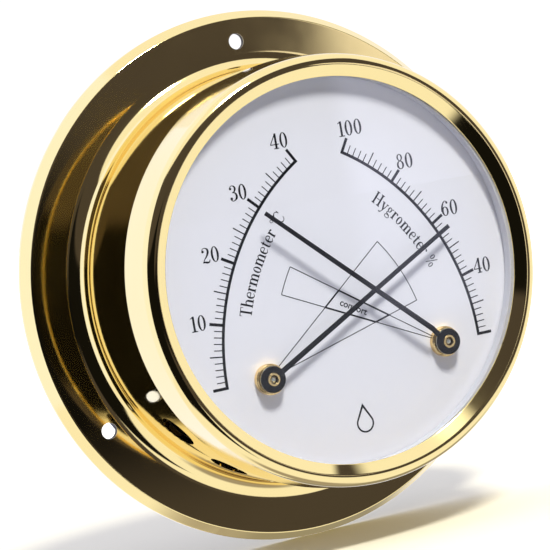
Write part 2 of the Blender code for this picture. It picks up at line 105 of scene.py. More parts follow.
@dataclass(frozen=True)
class Room:
    """The room that a round piece of the model takes, in millimetres.

    Attributes:
        x: Its middle, to the right.
        z: Its middle, upwards.
        radius: Its outside.
        rear: Depth of its back from the wall.
        front: Depth of its front from the wall.
    """

    x: float
    z: float
    radius: float
    rear: float
    front: float

    @classmethod
    def of(cls, node: str) -> "Room":
        """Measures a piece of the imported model.

        Args:
            node: The piece's name.

        Returns:
            Its room.
        """
        low, high = (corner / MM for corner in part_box(node))
        return cls((low.x + high.x) / 2, (low.z + high.z) / 2, (high.x - low.x) / 2, -high.y, -low.y)

    @property
    def middle(self) -> Point:
        """Its middle, as (x, z)."""
        return self.x, self.z


def polar(radius: float, degrees: float, centre: Point = (0.0, 0.0)) -> Point:
    """Gives the point at a radius and an angle, anticlockwise from the right.

    Args:
        radius: Distance from the centre.
        degrees: Direction.
        centre: Where the angle is measured.

    Returns:
        The point.
    """
    angle = math.radians(degrees)
    return centre[0] + radius * math.cos(angle), centre[1] + radius * math.sin(angle)


def sweep(radius: float, start: float, end: float, centre: Point, step: float = 2.0) -> Outline:
    """Gives points along an arc.

    Args:
        radius: The arc's radius.
        start: Its first direction in degrees.
        end: Its last direction in degrees.
        centre: Its middle.
        step: The most degrees between two points.

    Returns:
        The points, both ends included.
    """
    count = max(2, math.ceil(abs(end - start) / step))
    return [polar(radius, start + (end - start) * i / count, centre) for i in range(count + 1)]


def rounded(corners: Sequence[Corner], closed: bool = True) -> Outline:
    """Rounds an outline's corners, with a holding point on the flat beside each arc.

    Args:
        corners: The sharp corners, each with its radius.
        closed: Whether the last corner joins the first.

    Returns:
        The rounded outline.
    """
    points: Outline = []
    for i, (x, y, radius) in enumerate(corners):
        if radius == 0 or (not closed and i in (0, len(corners) - 1)):
            points.append((x, y))
            continue
        here = Vector((x, y))
        back = Vector(corners[i - 1][:2]) - here
        ahead = Vector(corners[(i + 1) % len(corners)][:2]) - here
        half = back.angle(ahead) / 2
        reach = radius / math.tan(half)
        centre = here + (back.normalized() + ahead.normalized()).normalized() * radius / math.sin(half)
        first = here + back.normalized() * reach - centre
        last = here + ahead.normalized() * reach - centre
        start = math.degrees(math.atan2(first.y, first.x))
        turn = (math.degrees(math.atan2(last.y, last.x)) - start + 180) % 360 - 180
        if back.length > reach + 4 * HOLD:
            points.append(tuple(here + back.normalized() * (reach + HOLD)))
        points += sweep(radius, start, start + turn, tuple(centre), ARC_STEP_DEG)
        if ahead.length > reach + 4 * HOLD:
            points.append(tuple(here + ahead.normalized() * (reach + HOLD)))
    return points


# ---------------------------------------------------------------- modelling


def deselect() -> None:
    """Leaves nothing selected, so that the next operator meets only its own piece."""
    for obj in bpy.context.selected_objects:
        obj.select_set(False)


def choose(obj: bpy.types.Object) -> None:
    """Makes one object the only selected one, and the active one.

    Args:
        obj: The object.
    """
    deselect()
    obj.select_set(True)
    bpy.context.view_layer.objects.active = obj


def settle(obj: bpy.types.Object) -> bpy.types.Object:
    """Puts a piece's place and turn into its mesh and shades its round faces smooth.

    Args:
        obj: The piece.

    Returns:
        The same piece.
    """
    choose(obj)
    bpy.ops.object.transform_apply(location=True, rotation=True, scale=True)
    bpy.ops.object.shade_smooth_by_angle(angle=math.radians(SMOOTH_DEG))
    return obj


def close_up() -> None:
    """In edit mode, merges the seams and turns every face outwards."""
    bpy.ops.mesh.select_all(action="SELECT")
    bpy.ops.mesh.remove_doubles(threshold=WELD)
    bpy.ops.mesh.normals_make_consistent(inside=False)


def turned(name: str, outline: Outline, steps: int = ROUND_STEPS, centre: Point = (0, 0)) -> bpy.types.Object:
    """Turns a piece on an axis that runs straight out of the dial.

    Args:
        name: The piece's name.
        outline: Its (radius, depth) points. One that ends on the axis makes a solid disc.
        steps: How many faces go round.
        centre: The axis, as (x, z).

    Returns:
        The turned piece.
    """
    deselect()
    radius, depth = outline[0]
    place = ((centre[0] + radius) * MM, -depth * MM, centre[1] * MM)
    bpy.ops.mesh.primitive_plane_add(size=MM, location=place)
    piece = bpy.context.object
    piece.name = name
    bpy.ops.object.mode_set(mode="EDIT")
    bpy.ops.mesh.select_all(action="SELECT")
    bpy.ops.mesh.merge(type="CENTER")
    path = outline if outline[0][0] == 0 else [*outline, outline[0]]
    for (r0, d0), (r1, d1) in zip(path, path[1:]):
        step = ((r1 - r0) * MM, (d0 - d1) * MM, 0)
        bpy.ops.mesh.extrude_vertices_move(TRANSFORM_OT_translate={"value": step})
    bpy.ops.mesh.select_all(action="SELECT")
    middle = (centre[0] * MM, 0, centre[1] * MM)
    bpy.ops.mesh.spin(steps=steps, angle=math.tau, center=middle, axis=(0, 1, 0))
    close_up()
    bpy.ops.object.mode_set(mode="OBJECT")
    return settle(piece)


def rod(start: Vector, end: Vector, radius: float) -> bpy.types.Object:
    """Makes a cutter rod between two points.

    Args:
        start: One end, in world millimetres.
        end: The other end.
        radius: Its radius.

    Returns:
        The rod.
    """
    deselect()
    axis = end - start
    bpy.ops.mesh.primitive_cylinder_add(
        vertices=SMALL_STEPS, radius=radius * MM, depth=axis.length * MM, location=(start + end) / 2 * MM,
        rotation=axis.to_track_quat("Z", "Y").to_euler(),
    )
    return bpy.context.object


def combine(piece: bpy.types.Object, others: Sequence[bpy.types.Object], cut: Cut) -> bpy.types.Object:
    """Cuts other shapes out of a piece or joins them to it, and removes them.

    Args:
        piece: The piece that stays.
        others: The shapes.
        cut: What is done with them.

    Returns:
        The same piece.
    """
    choose(others[0])
    for other in others[1:]:
        other.select_set(True)
    if len(others) > 1:
        bpy.ops.object.join()
    tool = bpy.context.view_layer.objects.active
    choose(piece)
    modifier = piece.modifiers.new("cut", "BOOLEAN")
    modifier.operation = cut.value
    modifier.object = tool
    bpy.ops.object.modifier_apply(modifier=modifier.name)
    bpy.data.objects.remove(tool)
    return settle(piece)


def bevelled(piece: bpy.types.Object, width: float) -> bpy.types.Object:
    """Rounds a piece's sharp edges.

    Args:
        piece: The piece.
        width: The bevel's width.

    Returns:
        The same piece.
    """
    choose(piece)
    modifier = piece.modifiers.new("edges", "BEVEL")
    modifier.width = width * MM
    modifier.segments = 2
    modifier.limit_method = "ANGLE"
    modifier.angle_limit = math.radians(40)
    bpy.ops.object.modifier_apply(modifier=modifier.name)
    return settle(piece)


def flat_curve(shape: Shape, depth: float, thickness: float) -> bpy.types.Object:
    """Makes one filled flat shape that lies parallel to the dial.

    Args:
        shape: Its outline, and the outlines of its holes.
        depth: Depth of its back from the wall.
        thickness: How thick it is.

    Returns:
        A curve object, not yet a mesh.
    """
    curve = bpy.data.curves.new("shape", "CURVE")
    curve.dimensions = "2D"
    curve.fill_mode = "BOTH"
    curve.extrude = thickness / 2 * MM
    for outline in shape:
        spline = curve.splines.new("POLY")
        spline.points.add(len(outline) - 1)
        spline.use_cyclic_u = True
        for point, (x, z) in zip(spline.points, outline):
            point.co = (x * MM, z * MM, 0, 1)
    obj = bpy.data.objects.new("shape", curve)
    bpy.context.scene.collection.objects.link(obj)
    obj.location.y = -(depth + thickness / 2) * MM
    obj.rotation_euler.x = math.pi / 2
    return obj


def flat_piece(name: str, shapes: Iterable[Shape], depth: float, thickness: float) -> bpy.types.Object:
    """Makes flat shapes into one mesh that lies parallel to the dial.

    Args:
        name: The piece's name.
        shapes: Its filled shapes.
        depth: Depth of its back from the wall.
        thickness: How thick it is.

    Returns:
        The piece.
    """
    curves = [flat_curve(shape, depth, thickness) for shape in shapes]
    choose(curves[0])
    for curve in curves:
        curve.select_set(True)
    bpy.ops.object.convert(target="MESH")
    if len(curves) > 1:
        bpy.ops.object.join()
    piece = bpy.context.view_layer.objects.active
    piece.name = name
    bpy.ops.object.mode_set(mode="EDIT")
    close_up()
    bpy.ops.object.mode_set(mode="OBJECT")
    return settle(piece)


def mount(piece: bpy.types.Object, body: str, slot: str, finish: "Finish", *nodes: str) -> None:
    """Dresses a finished piece, seats it on its body and reports it.

    Args:
        piece: The piece.
        body: The body that it moves with.
        slot: The record's slot that its finish stands for. Not used.
        finish: Its finish.
        nodes: The pieces of the model that it stands for.
    """
    piece.data.materials.clear()
    piece.data.materials.append(finish.material())
    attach(piece, body)
    if nodes:
        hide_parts(*nodes)
    log.info("%s: %d faces on %s", piece.name, len(piece.data.polygons), body)


# ---------------------------------------------------------------- finishes


class Wiring:
    """A material's or a world's node tree, with short ways to add and join its nodes."""

    def __init__(self, tree: bpy.types.NodeTree) -> None:
        """Keeps the tree."""
        self.tree = tree

    def add(self, kind: str, **values: object) -> bpy.types.Node:
        """Adds a node.

        Args:
            kind: Its type, without the ShaderNode prefix.
            values: Its settings, by name.

        Returns:
            The node.
        """
        node = self.tree.nodes.new("ShaderNode" + kind)
        for name, value in values.items():
            setattr(node, name, value)
        return node

    def feed(self, socket: bpy.types.NodeSocket, source: object) -> None:
        """Gives a socket a number or another socket.

        Args:
            socket: The input.
            source: The number, colour, vector or output.
        """
        if isinstance(source, bpy.types.NodeSocket):
            self.tree.links.new(source, socket)
        else:
            socket.default_value = source

    def math(self, operation: str, *inputs: object) -> bpy.types.NodeSocket:
        """Adds a Math node.

        Args:
            operation: What it works out.
            inputs: The numbers or outputs that it works on.

        Returns:
            The result.
        """
        node = self.add("Math", operation=operation)
        for socket, source in zip(node.inputs, inputs):
            self.feed(socket, source)
        return node.outputs[0]

    def ramp(
        self, source: object, low: float, high: float, to_low: float = 0.0, to_high: float = 1.0,
    ) -> bpy.types.NodeSocket:
        """Adds a smooth step from one value to another.

        Args:
            source: What is measured.
            low: Where the step begins.
            high: Where it ends.
            to_low: The value before it.
            to_high: The value after it.

        Returns:
            The stepped value.
        """
        node = self.add("MapRange", interpolation_type="SMOOTHSTEP")
        for socket, value in zip(node.inputs, (source, low, high, to_low, to_high)):
            self.feed(socket, value)
        return node.outputs[0]

    def noise(self, vector: object, scale: float, detail: float = 3.0) -> bpy.types.NodeSocket:
        """Adds a noise and returns its value.

        Args:
            vector: Where it is read.
            scale: How many lumps to a unit of the vector.
            detail: How many finer layers it has.

        Returns:
            The value, from 0 to 1.
        """
        node = self.add("TexNoise")
        for name, source in (("Vector", vector), ("Scale", scale), ("Detail", detail)):
            self.feed(node.inputs[name], source)
        return node.outputs["Fac"]

    def blend(self, factor: object, first: object, second: object) -> bpy.types.NodeSocket:
        """Mixes two colours.

        Args:
            factor: The second colour's share, from 0 to 1.
            first: The first colour.
            second: The second colour.

        Returns:
            The mixed colour.
        """
        node = self.add("Mix", data_type="RGBA")
        for socket, source in ((node.inputs[0], factor), (node.inputs[6], first), (node.inputs[7], second)):
            self.feed(socket, source)
        return node.outputs[2]

    def bump(self, height: object, strength: float, distance: float) -> bpy.types.NodeSocket:
        """Adds a bump and returns its normal.

        Args:
            height: The relief.
            strength: Its share, from 0 to 1.
            distance: Its depth in metres.

        Returns:
            The normal.
        """
        node = self.add("Bump")
        for name, source in (("Strength", strength), ("Distance", distance), ("Height", height)):
            self.feed(node.inputs[name], source)
        return node.outputs["Normal"]

    def place(self) -> bpy.types.NodeSocket:
        """Gives the point on the piece, in metres."""
        return self.add("TexCoord").outputs["Object"]

    def around(self, centre: Point, radial: float, along: float, turning: float) -> bpy.types.NodeSocket:
        """Gives coordinates that follow a turned piece, for marks that run round its axis.

        Args:
            centre: The axis, as (x, z).
            radial: Scale across the rings.
            along: Scale along the axis.
            turning: Scale round the axis.

        Returns:
            The coordinates.
        """
        parts = self.add("SeparateXYZ")
        self.feed(parts.inputs[0], self.place())
        x = self.math("SUBTRACT", parts.outputs["X"], centre[0] * MM)
        z = self.math("SUBTRACT", parts.outputs["Z"], centre[1] * MM)
        radius = self.math("SQRT", self.math("ADD", self.math("MULTIPLY", x, x), self.math("MULTIPLY", z, z)))
        joined = self.add("CombineXYZ")
        self.feed(joined.inputs[0], self.math("MULTIPLY", radius, radial))
        self.feed(joined.inputs[1], self.math("MULTIPLY", parts.outputs["Y"], along))
        self.feed(joined.inputs[2], self.math("MULTIPLY", self.math("DIVIDE", x, radius), turning))
        return joined.outputs[0]


@dataclass(frozen=True)
class Finish:
    """A surface with its colour and shine, and a little unevenness in both.

    Attributes:
        name: The finish's name.
        colour: Its colour.
        dark: The colour of its duller patches.
        roughness: Its least roughness.
        spread: How much rougher its duller patches are.
        metallic: 1 on metal.
        grain: How many lumps to a metre its unevenness has.
        relief: Depth of the unevenness, in millimetres.
        specular: Strength of the shine on a surface that isn't metal.
    """

    name: str
    colour: RGB
    dark: RGB
    roughness: float
    spread: float = 0.1
    metallic: float = 0.0
    grain: float = 400.0
    relief: float = 0.0
    specular: float = 0.5

    def material(self) -> bpy.types.Material:
        """Gives the finish's material, which is made when it is first asked for.

        Returns:
            The material.
        """
        found = bpy.data.materials.get(self.name)
        if found:
            return found
        material = bpy.data.materials.new(self.name)
        material.use_nodes = True
        shader = material.node_tree.nodes["Principled BSDF"]
        shader.inputs["Metallic"].default_value = self.metallic
        shader.inputs["Specular IOR Level"].default_value = self.specular
        self.dress(Wiring(material.node_tree), shader)
        return material

    def pattern(self, wiring: Wiring) -> bpy.types.NodeSocket:
        """Gives the unevenness that colour, shine and relief follow, from 0 to 1."""
        return wiring.noise(wiring.place(), self.grain)

    def dress(self, wiring: Wiring, shader: bpy.types.Node) -> None:
        """Joins the pattern to the shader.

        Args:
            wiring: The material's nodes.
            shader: Its Principled shader.
        """
        pattern = self.pattern(wiring)
        colour = wiring.blend(pattern, (*self.colour, 1), (*self.dark, 1))
        wiring.feed(shader.inputs["Base Color"], colour)
        rough = wiring.ramp(pattern, 0.3, 0.7, self.roughness, self.roughness + self.spread)
        wiring.feed(shader.inputs["Roughness"], rough)
        if self.relief:
            wiring.feed(shader.inputs["Normal"], wiring.bump(pattern, 1.0, self.relief * MM))


@dataclass(frozen=True)
class TurnedFinish(Finish):
    """Metal with fine rings from the lathe or the polishing wheel.

    Attributes:
        axis: What the rings run round, as (x, z).
        rings: Rings to a metre.
        ring_turning: How much the rings change round the axis.
        wander: How strongly the surface waves at a larger scale, in millimetres.
        waves: Scale of those waves across the rings, along the axis and round it.
    """

    axis: Point = (0.0, 0.0)
    rings: float = 9000.0
    ring_turning: float = 1.5
    wander: float = 0.0
    waves: Corner = (90.0, 90.0, 6.0)

    def dress(self, wiring: Wiring, shader: bpy.types.Node) -> None:
        """Adds the rings and the slow waves to the plain finish.

        Args:
            wiring: The material's nodes.
            shader: Its Principled shader.
        """
        Finish.dress(self, wiring, shader)
        rings = wiring.noise(wiring.around(self.axis, self.rings, self.rings, self.ring_turning), 1.0, 2.0)
        normal = wiring.bump(rings, 1.0, self.relief * MM)
        if self.wander:
            waves = wiring.add("Bump")
            slow = wiring.noise(wiring.around(self.axis, *self.waves), 1.0, 1.0)
            for name, source in (("Strength", 1.0), ("Distance", self.wander * MM), ("Height", slow)):
                wiring.feed(waves.inputs[name], source)
            wiring.feed(waves.inputs["Normal"], normal)
            normal = waves.outputs["Normal"]
        wiring.feed(shader.inputs["Normal"], normal)


@dataclass(frozen=True)
class SpunShell(TurnedFinish):
    """Polished outside; the inside, left rough from the spinning, is painted near-black as shade.

    Attributes:
        bore: Radius inside which the metal is rough and painted dark as shade.
        lip: Depth up to which it is so.
        foot: Depth up to which the holes in the flange are rough and painted dark as shade.
        holes: The middle radius of the ring that the holes are in, and half its width.
        hollow_shade: Painted shade colour of the case's inside and the hole walls, near black.
        dull_roughness: Roughness of that rough metal.
    """

    bore: float = 41.5
    lip: float = 28.0
    foot: float = 3.12
    holes: Point = (48.7, 2.0)
    # painted shade: near-black colour for the case's inside and the flange's hole walls
    hollow_shade: RGB = (0.10, 0.08, 0.05)
    dull_roughness: float = 0.6

    def dress(self, wiring: Wiring, shader: bpy.types.Node) -> None:
        """Adds the rough inside, painted dark as shade, to the polished metal.

        Args:
            wiring: The material's nodes.
            shader: Its Principled shader.
        """
        TurnedFinish.dress(self, wiring, shader)
        parts = wiring.add("SeparateXYZ")
        wiring.feed(parts.inputs[0], wiring.around(self.axis, 1.0, 1.0, 0.0))
        radius, along = parts.outputs[0], parts.outputs[1]
        masks = []
        for near, depth in (
            (wiring.math("LESS_THAN", radius, self.bore * MM), self.lip),
            (wiring.math("COMPARE", radius, self.holes[0] * MM, self.holes[1] * MM), self.foot),
        ):
            masks.append(wiring.math("MULTIPLY", near, wiring.math("GREATER_THAN", along, -depth * MM)))
        # painted shade: the case's inside and the flange's hole walls are darkened to near black, as they lie
        # in shade
        inside = wiring.math("MAXIMUM", *masks)
        colour, rough = shader.inputs["Base Color"], shader.inputs["Roughness"]
        wiring.feed(colour, wiring.blend(inside, colour.links[0].from_socket, (*self.hollow_shade, 1)))
        least = wiring.math("MULTIPLY", inside, self.dull_roughness)
        wiring.feed(rough, wiring.math("MAXIMUM", rough.links[0].from_socket, least))


@dataclass(frozen=True)
class ClearGlass(Finish):
    """Flat clear glass, faintly wavy."""

    def dress(self, wiring: Wiring, shader: bpy.types.Node) -> None:
        """Makes the shader let light through.

        Args:
            wiring: The material's nodes.
            shader: Its Principled shader.
        """
        shader.inputs["Base Color"].default_value = (*self.colour, 1)
        shader.inputs["Roughness"].default_value = self.roughness
        shader.inputs["IOR"].default_value = 1.5
        shader.inputs["Transmission Weight"].default_value = 1.0
        wiring.feed(shader.inputs["Normal"], wiring.bump(self.pattern(wiring), 1.0, self.relief * MM))


BRASS = TurnedFinish(
    "mirror_brass", (0.95, 0.76, 0.31), (0.93, 0.73, 0.28), 0.035, 0.05, 1.0, 60.0, 0.00004, wander=0.0006,
)
SHELL = SpunShell(
    "spun_brass_shaded_inside", BRASS.colour, BRASS.dark, BRASS.roughness, BRASS.spread, 1.0, BRASS.grain, BRASS.relief,
    wander=BRASS.wander,
)
INNER_BRASS = TurnedFinish(
    "lathe_brass", (0.80, 0.60, 0.28), (0.70, 0.50, 0.22), 0.22, 0.12, 1.0, 500.0, 0.004,
)
HUB_BRASS = TurnedFinish("hub_brass", (0.90, 0.66, 0.30), (0.80, 0.56, 0.22), 0.10, 0.08, 1.0, 900.0, 0.0008)
STEEL = TurnedFinish("bright_steel", (0.62, 0.62, 0.51), (0.48, 0.48, 0.40), 0.20, 0.15, 1.0, 900.0, 0.003)
BIMETAL = Finish("rolled_bimetal", (0.66, 0.56, 0.46), (0.56, 0.47, 0.38), 0.28, 0.15, 1.0, 1500.0, 0.002)
HYGRO_STRIP = Finish("coated_strip", (0.72, 0.62, 0.40), (0.62, 0.52, 0.32), 0.45, 0.15, 0.0, 1800.0, 0.003)
ENAMEL = Finish(
    "dial_enamel", (0.815, 0.81, 0.83), (0.805, 0.80, 0.82), 0.34, 0.06, 0.0, 2500.0, 0.0006, 0.3,
)
INK = Finish(
    "printing_ink", (0.004, 0.004, 0.005), (0.008, 0.008, 0.009), 0.42, 0.10, 0.0, 5000.0, 0.0004, 0.12,
)
LACQUER = Finish(
    "black_lacquer", (0.004, 0.004, 0.005), (0.008, 0.008, 0.009), 0.30, 0.10, 0.0, 2200.0, 0.0008, 0.15,
)
PALE_PLASTIC = Finish("pale_plastic", (0.60, 0.60, 0.63), (0.56, 0.56, 0.59), 0.45, 0.10, 0.0, 3000.0, 0.002)
BLACK_PLASTIC = Finish(
    "moulded_plastic", (0.022, 0.021, 0.018), (0.030, 0.029, 0.026), 0.40, 0.15, 0.0, 2600.0, 0.02, 0.2,
)
RUBBER = Finish("seal_rubber", (0.025, 0.025, 0.025), (0.035, 0.035, 0.035), 0.70, 0.15, 0.0, 3000.0, 0.01)
GLASS = ClearGlass("window_glass", (0.985, 0.995, 0.99), (0.985, 0.995, 0.99), 0.0, 0.0, 0.0, 60.0, 0.0004)

SLOT_FINISHES: dict[str, Finish] = {
    "polished_brass": BRASS,
    "turned_brass": INNER_BRASS,
    "clear_glass": GLASS,
    "white_dial": ENAMEL,
    "white_plastic": PALE_PLASTIC,
    "black_hand": LACQUER,
    "steel": STEEL,
    "bimetal": BIMETAL,
    "hygro_strip": HYGRO_STRIP,
    "black_rubber": RUBBER,
    "black_plastic": BLACK_PLASTIC,
}


# ---------------------------------------------------------------- case, bezel and glass


@dataclass
class Case:
    """The spun brass case: foot flange, hollow curve, wall with vents, and the sleeve inside the bezel.

    Attributes:
        wall_r: Outside of the wall.
        flange_h: Height of the flange's face over the wall plane.
        sheet: Thickness of the sheet.
        rim: How far the flange's edge slopes, inwards and down.
        cove_r: Radius of the hollow curve.
        sleeve_r: Outside of the sleeve.
        sleeve_bore: Inside of the sleeve.
        seat_bore: Inside of the ledge that the dial rests on.
        seat: The ledge's two levels.
        vent_r: Radius of a vent.
        vent_depth: How far from the wall plane the vents are.
        vent_angles: Where the vents are.
        screw_r: Radius of a hanging hole.
        screw_circle: Radius of the circle that the hanging holes are on.
        screw_angles: Where the hanging holes are.
        seam: Gap between the wall's end and the bezel, and radius of the wall's edge there.
        cut_edge: Radius of the sheet's cut edges.
        rim_edges: Radii of the rim's two outer corners.
        foot_edge: Radius of the corners on the wall plane.
        under_edge: Radius of the corner under the rim.
        fold: Radius of the ledge's folds.
        room: The case's room in the model.
        bezel: The front ring's.
    """

    wall_r: float = 42.6
    flange_h: float = 3.2
    sheet: float = 1.2
    rim: Point = (1.6, 2.2)
    cove_r: float = 3.8
    sleeve_r: float = 41.9
    sleeve_bore: float = 41.0
    seat_bore: float = 39.6
    seat: Point = (27.0, 28.7)
    vent_r: float = 3.9
    vent_depth: float = 18.8
    vent_angles: tuple[float, ...] = tuple(270 + 17.6 * i for i in range(-3, 4))
    screw_r: float = 1.65
    screw_circle: float = 48.7
    screw_angles: tuple[float, ...] = (90.0, 210.0, 330.0)
    seam: float = 0.12
    cut_edge: float = 0.1
    rim_edges: Point = (0.35, 0.5)
    foot_edge: float = 0.15
    under_edge: float = 0.2
    fold: float = 0.3
    room: Room = field(default_factory=lambda: Room.of("case"))
    bezel: Room = field(default_factory=lambda: Room.of("bezel_ring"))

    def outline(self) -> Outline:
        """Draws the case's section, from the sleeve's top down the outside and up the inside.

        Returns:
            Its (radius, depth) points.
        """
        edge = self.room.radius
        step = self.bezel.rear - self.seam
        bore = self.wall_r - self.sheet
        under = self.flange_h - self.sheet
        rim_low = self.flange_h - self.rim[1]
        return rounded([
            (self.sleeve_r, self.room.front, self.cut_edge),
            (self.sleeve_r, step, 0),
            (self.wall_r, step, self.seam),
            (self.wall_r, self.flange_h, self.cove_r),
            (edge - self.rim[0], self.flange_h, self.rim_edges[0]),
            (edge, rim_low, self.rim_edges[1]),
            (edge, 0, self.foot_edge),
            (edge - self.sheet, 0, self.foot_edge),
            (edge - self.sheet, rim_low / 2, 0),
            (edge - self.rim[0] - self.sheet / 2, under, self.under_edge),
            (bore, under, self.cove_r + self.sheet),
            (bore, self.seat[0] - bore + self.seat_bore, self.fold),
            (self.seat_bore, self.seat[0], self.fold),
            (self.seat_bore, self.seat[1], self.cut_edge),
            (self.sleeve_bore, self.seat[1], 0),
            (self.sleeve_bore, self.room.front, self.cut_edge),
        ])

    def cutters(self) -> list[bpy.types.Object]:
        """Makes the rods that pierce the vents and the hanging holes.

        Returns:
            The rods.
        """
        rods = []
        level = -self.vent_depth
        for angle in self.vent_angles:
            ends = [polar(self.wall_r + past, angle) for past in (-6, 3)]
            rods.append(rod(*(Vector((x, level, z)) for x, z in ends), self.vent_r))
        for angle in self.screw_angles:
            x, z = polar(self.screw_circle, angle)
            rods.append(rod(Vector((x, 1, z)), Vector((x, -self.flange_h - 1, z)), self.screw_r))
        return rods

    def build(self) -> None:
        """Turns and pierces the case."""
        case = turned("spun_case", self.outline())
        combine(case, self.cutters(), Cut.AWAY)
        mount(case, "housing", "polished_brass", SHELL, "case")


@dataclass
class Bezel:
    """The snap-on front ring.

    Attributes:
        crest_in: From its outside to the crest's inner end.
        taper: How much narrower its side is at the crest.
        shoulder: Radius of its outer shoulder.
        lip_r: Inside of the lip over the glass.
        lip_sink: From the crest down to the lip's underside.
        lip_edge: Height of the lip's edge.
        skirt: Thickness of the skirt round the case's sleeve.
        pocket_r: Outside of the pocket that holds the glass.
        pocket_depth: Where the pocket meets the skirt.
        room: The ring's room in the model.
    """

    crest_in: float = 2.95
    taper: float = 0.7
    shoulder: float = 2.2
    lip_r: float = 37.8
    lip_sink: float = 1.6
    lip_edge: float = 0.25
    skirt: float = 0.65
    pocket_r: float = 40.9
    pocket_depth: float = 33.3
    room: Room = field(default_factory=lambda: Room.of("bezel_ring"))

    def outline(self) -> Outline:
        """Draws the ring's section, from the skirt's rear edge up the outside.

        Returns:
            Its (radius, depth) points.
        """
        outside, rear, crest = self.room.radius, self.room.rear, self.room.front
        lip = crest - self.lip_sink
        return rounded([
            (outside, rear, 0.05),
            (outside - self.taper, crest, self.shoulder),
            (outside - self.crest_in, crest, 0.3),
            (self.lip_r, lip + self.lip_edge, 0.1),
            (self.lip_r, lip, 0.06),
            (self.pocket_r, lip, 0),
            (self.pocket_r, self.pocket_depth, 0),
            (outside - self.skirt, self.pocket_depth, 0),
            (outside - self.skirt, rear, 0.1),
        ])

    def build(self) -> None:
        """Turns the ring."""
        mount(turned("front_ring", self.outline()), "housing", "polished_brass", BRASS, "bezel_ring")


@dataclass
class Glazing:
    """The flat glass, the rubber behind it and the pale ring that spaces it from the dial.

    Attributes:
        arris: Radius of the glass's ground edge.
        gasket_width: Width of the rubber.
        spacer_width: Width of the pale ring.
        ring_edge: Radius of both rings' edges.
        glass: The glass's room in the model.
        gasket: The rubber's.
        spacer: The pale ring's.
    """

    arris: float = 0.15
    gasket_width: float = 1.6
    spacer_width: float = 2.4
    ring_edge: float = 0.12
    glass: Room = field(default_factory=lambda: Room.of("glass"))
    gasket: Room = field(default_factory=lambda: Room.of("glass_gasket"))
    spacer: Room = field(default_factory=lambda: Room.of("spacer_ring"))

    def build(self) -> None:
        """Makes the three."""
        room = self.glass
        glass = turned("dial_glass", rounded([
            (0, room.rear, 0), (room.radius, room.rear, self.arris), (room.radius, room.front, self.arris),
            (0, room.front, 0),
        ], closed=False))
        glass.visible_shadow = False
        glass.visible_diffuse = False
        mount(glass, "housing", "clear_glass", GLASS, "glass")
        rings = (
            ("glass_seal", self.gasket, self.gasket_width, "black_rubber", RUBBER, "glass_gasket"),
            ("dial_spacer", self.spacer, self.spacer_width, "white_plastic", PALE_PLASTIC, "spacer_ring"),
        )
        for name, ring, width, slot, finish, node in rings:
            inner, outer = ring.radius - width, ring.radius
            corners = [(inner, ring.rear), (outer, ring.rear), (outer, ring.front), (inner, ring.front)]
            piece = turned(name, rounded([(*corner, self.ring_edge) for corner in corners]))
            mount(piece, "housing", slot, finish, node)


# ---------------------------------------------------------------- the printed dial


@dataclass(frozen=True)
class Glyph:
    """A printed character, in shares of its capital height, with its baseline at 0.

    Attributes:
        width: How far it carries the pen.
        strokes: Pen strokes, each a row of (x, y, pen width).
        rings: Bowls, as (x, y, half width, half height, side thickness).
        dots: Ball ends, as (x, y, radius).
    """

    width: float
    strokes: Sequence[Stroke] = ()
    rings: tuple[tuple[float, float, float, float, float], ...] = ()
    dots: tuple[tuple[float, float, float], ...] = ()


HAIR = 0.06
STEM = 0.145
CURVE_STEPS = 6  # points from one knot of a curved stroke to the next


def foot(x: float, y: float = 0.0, half: float = 0.14) -> Stroke:
    """Gives a serif across a stem.

    Args:
        x: The stem's middle.
        y: The serif's outer edge.
        half: Half its length.

    Returns:
        The stroke.
    """
    level = y + (HAIR / 2 if y == 0 else -HAIR / 2)
    return (x - half, level, HAIR), (x + half, level, HAIR)


def stem(x: float, low: float, high: float, width: float = STEM) -> Stroke:
    """Gives an upright stroke.

    Args:
        x: Its middle.
        low: Its lower end.
        high: Its upper end.
        width: Its width.

    Returns:
        The stroke.
    """
    return (x, low, width), (x, high, width)


def bar(left: float, right: float, y: float) -> Stroke:
    """Gives a level hairline.

    Args:
        left: Its left end.
        right: Its right end.
        y: Its height.

    Returns:
        The stroke.
    """
    return (left, y, HAIR), (right, y, HAIR)


def hump(x: float, step: float) -> Stroke:
    """Gives the arch and the following stem of h, m and n.

    Args:
        x: The stem that the arch springs from.
        step: How far the next stem is.

    Returns:
        The stroke.
    """
    return (
        (x + 0.03, 0.46, HAIR), (x + step * 0.45, 0.62, 0.06), (x + step * 0.9, 0.55, 0.11),
        (x + step, 0.40, STEM), (x + step, 0.0, STEM),
    )


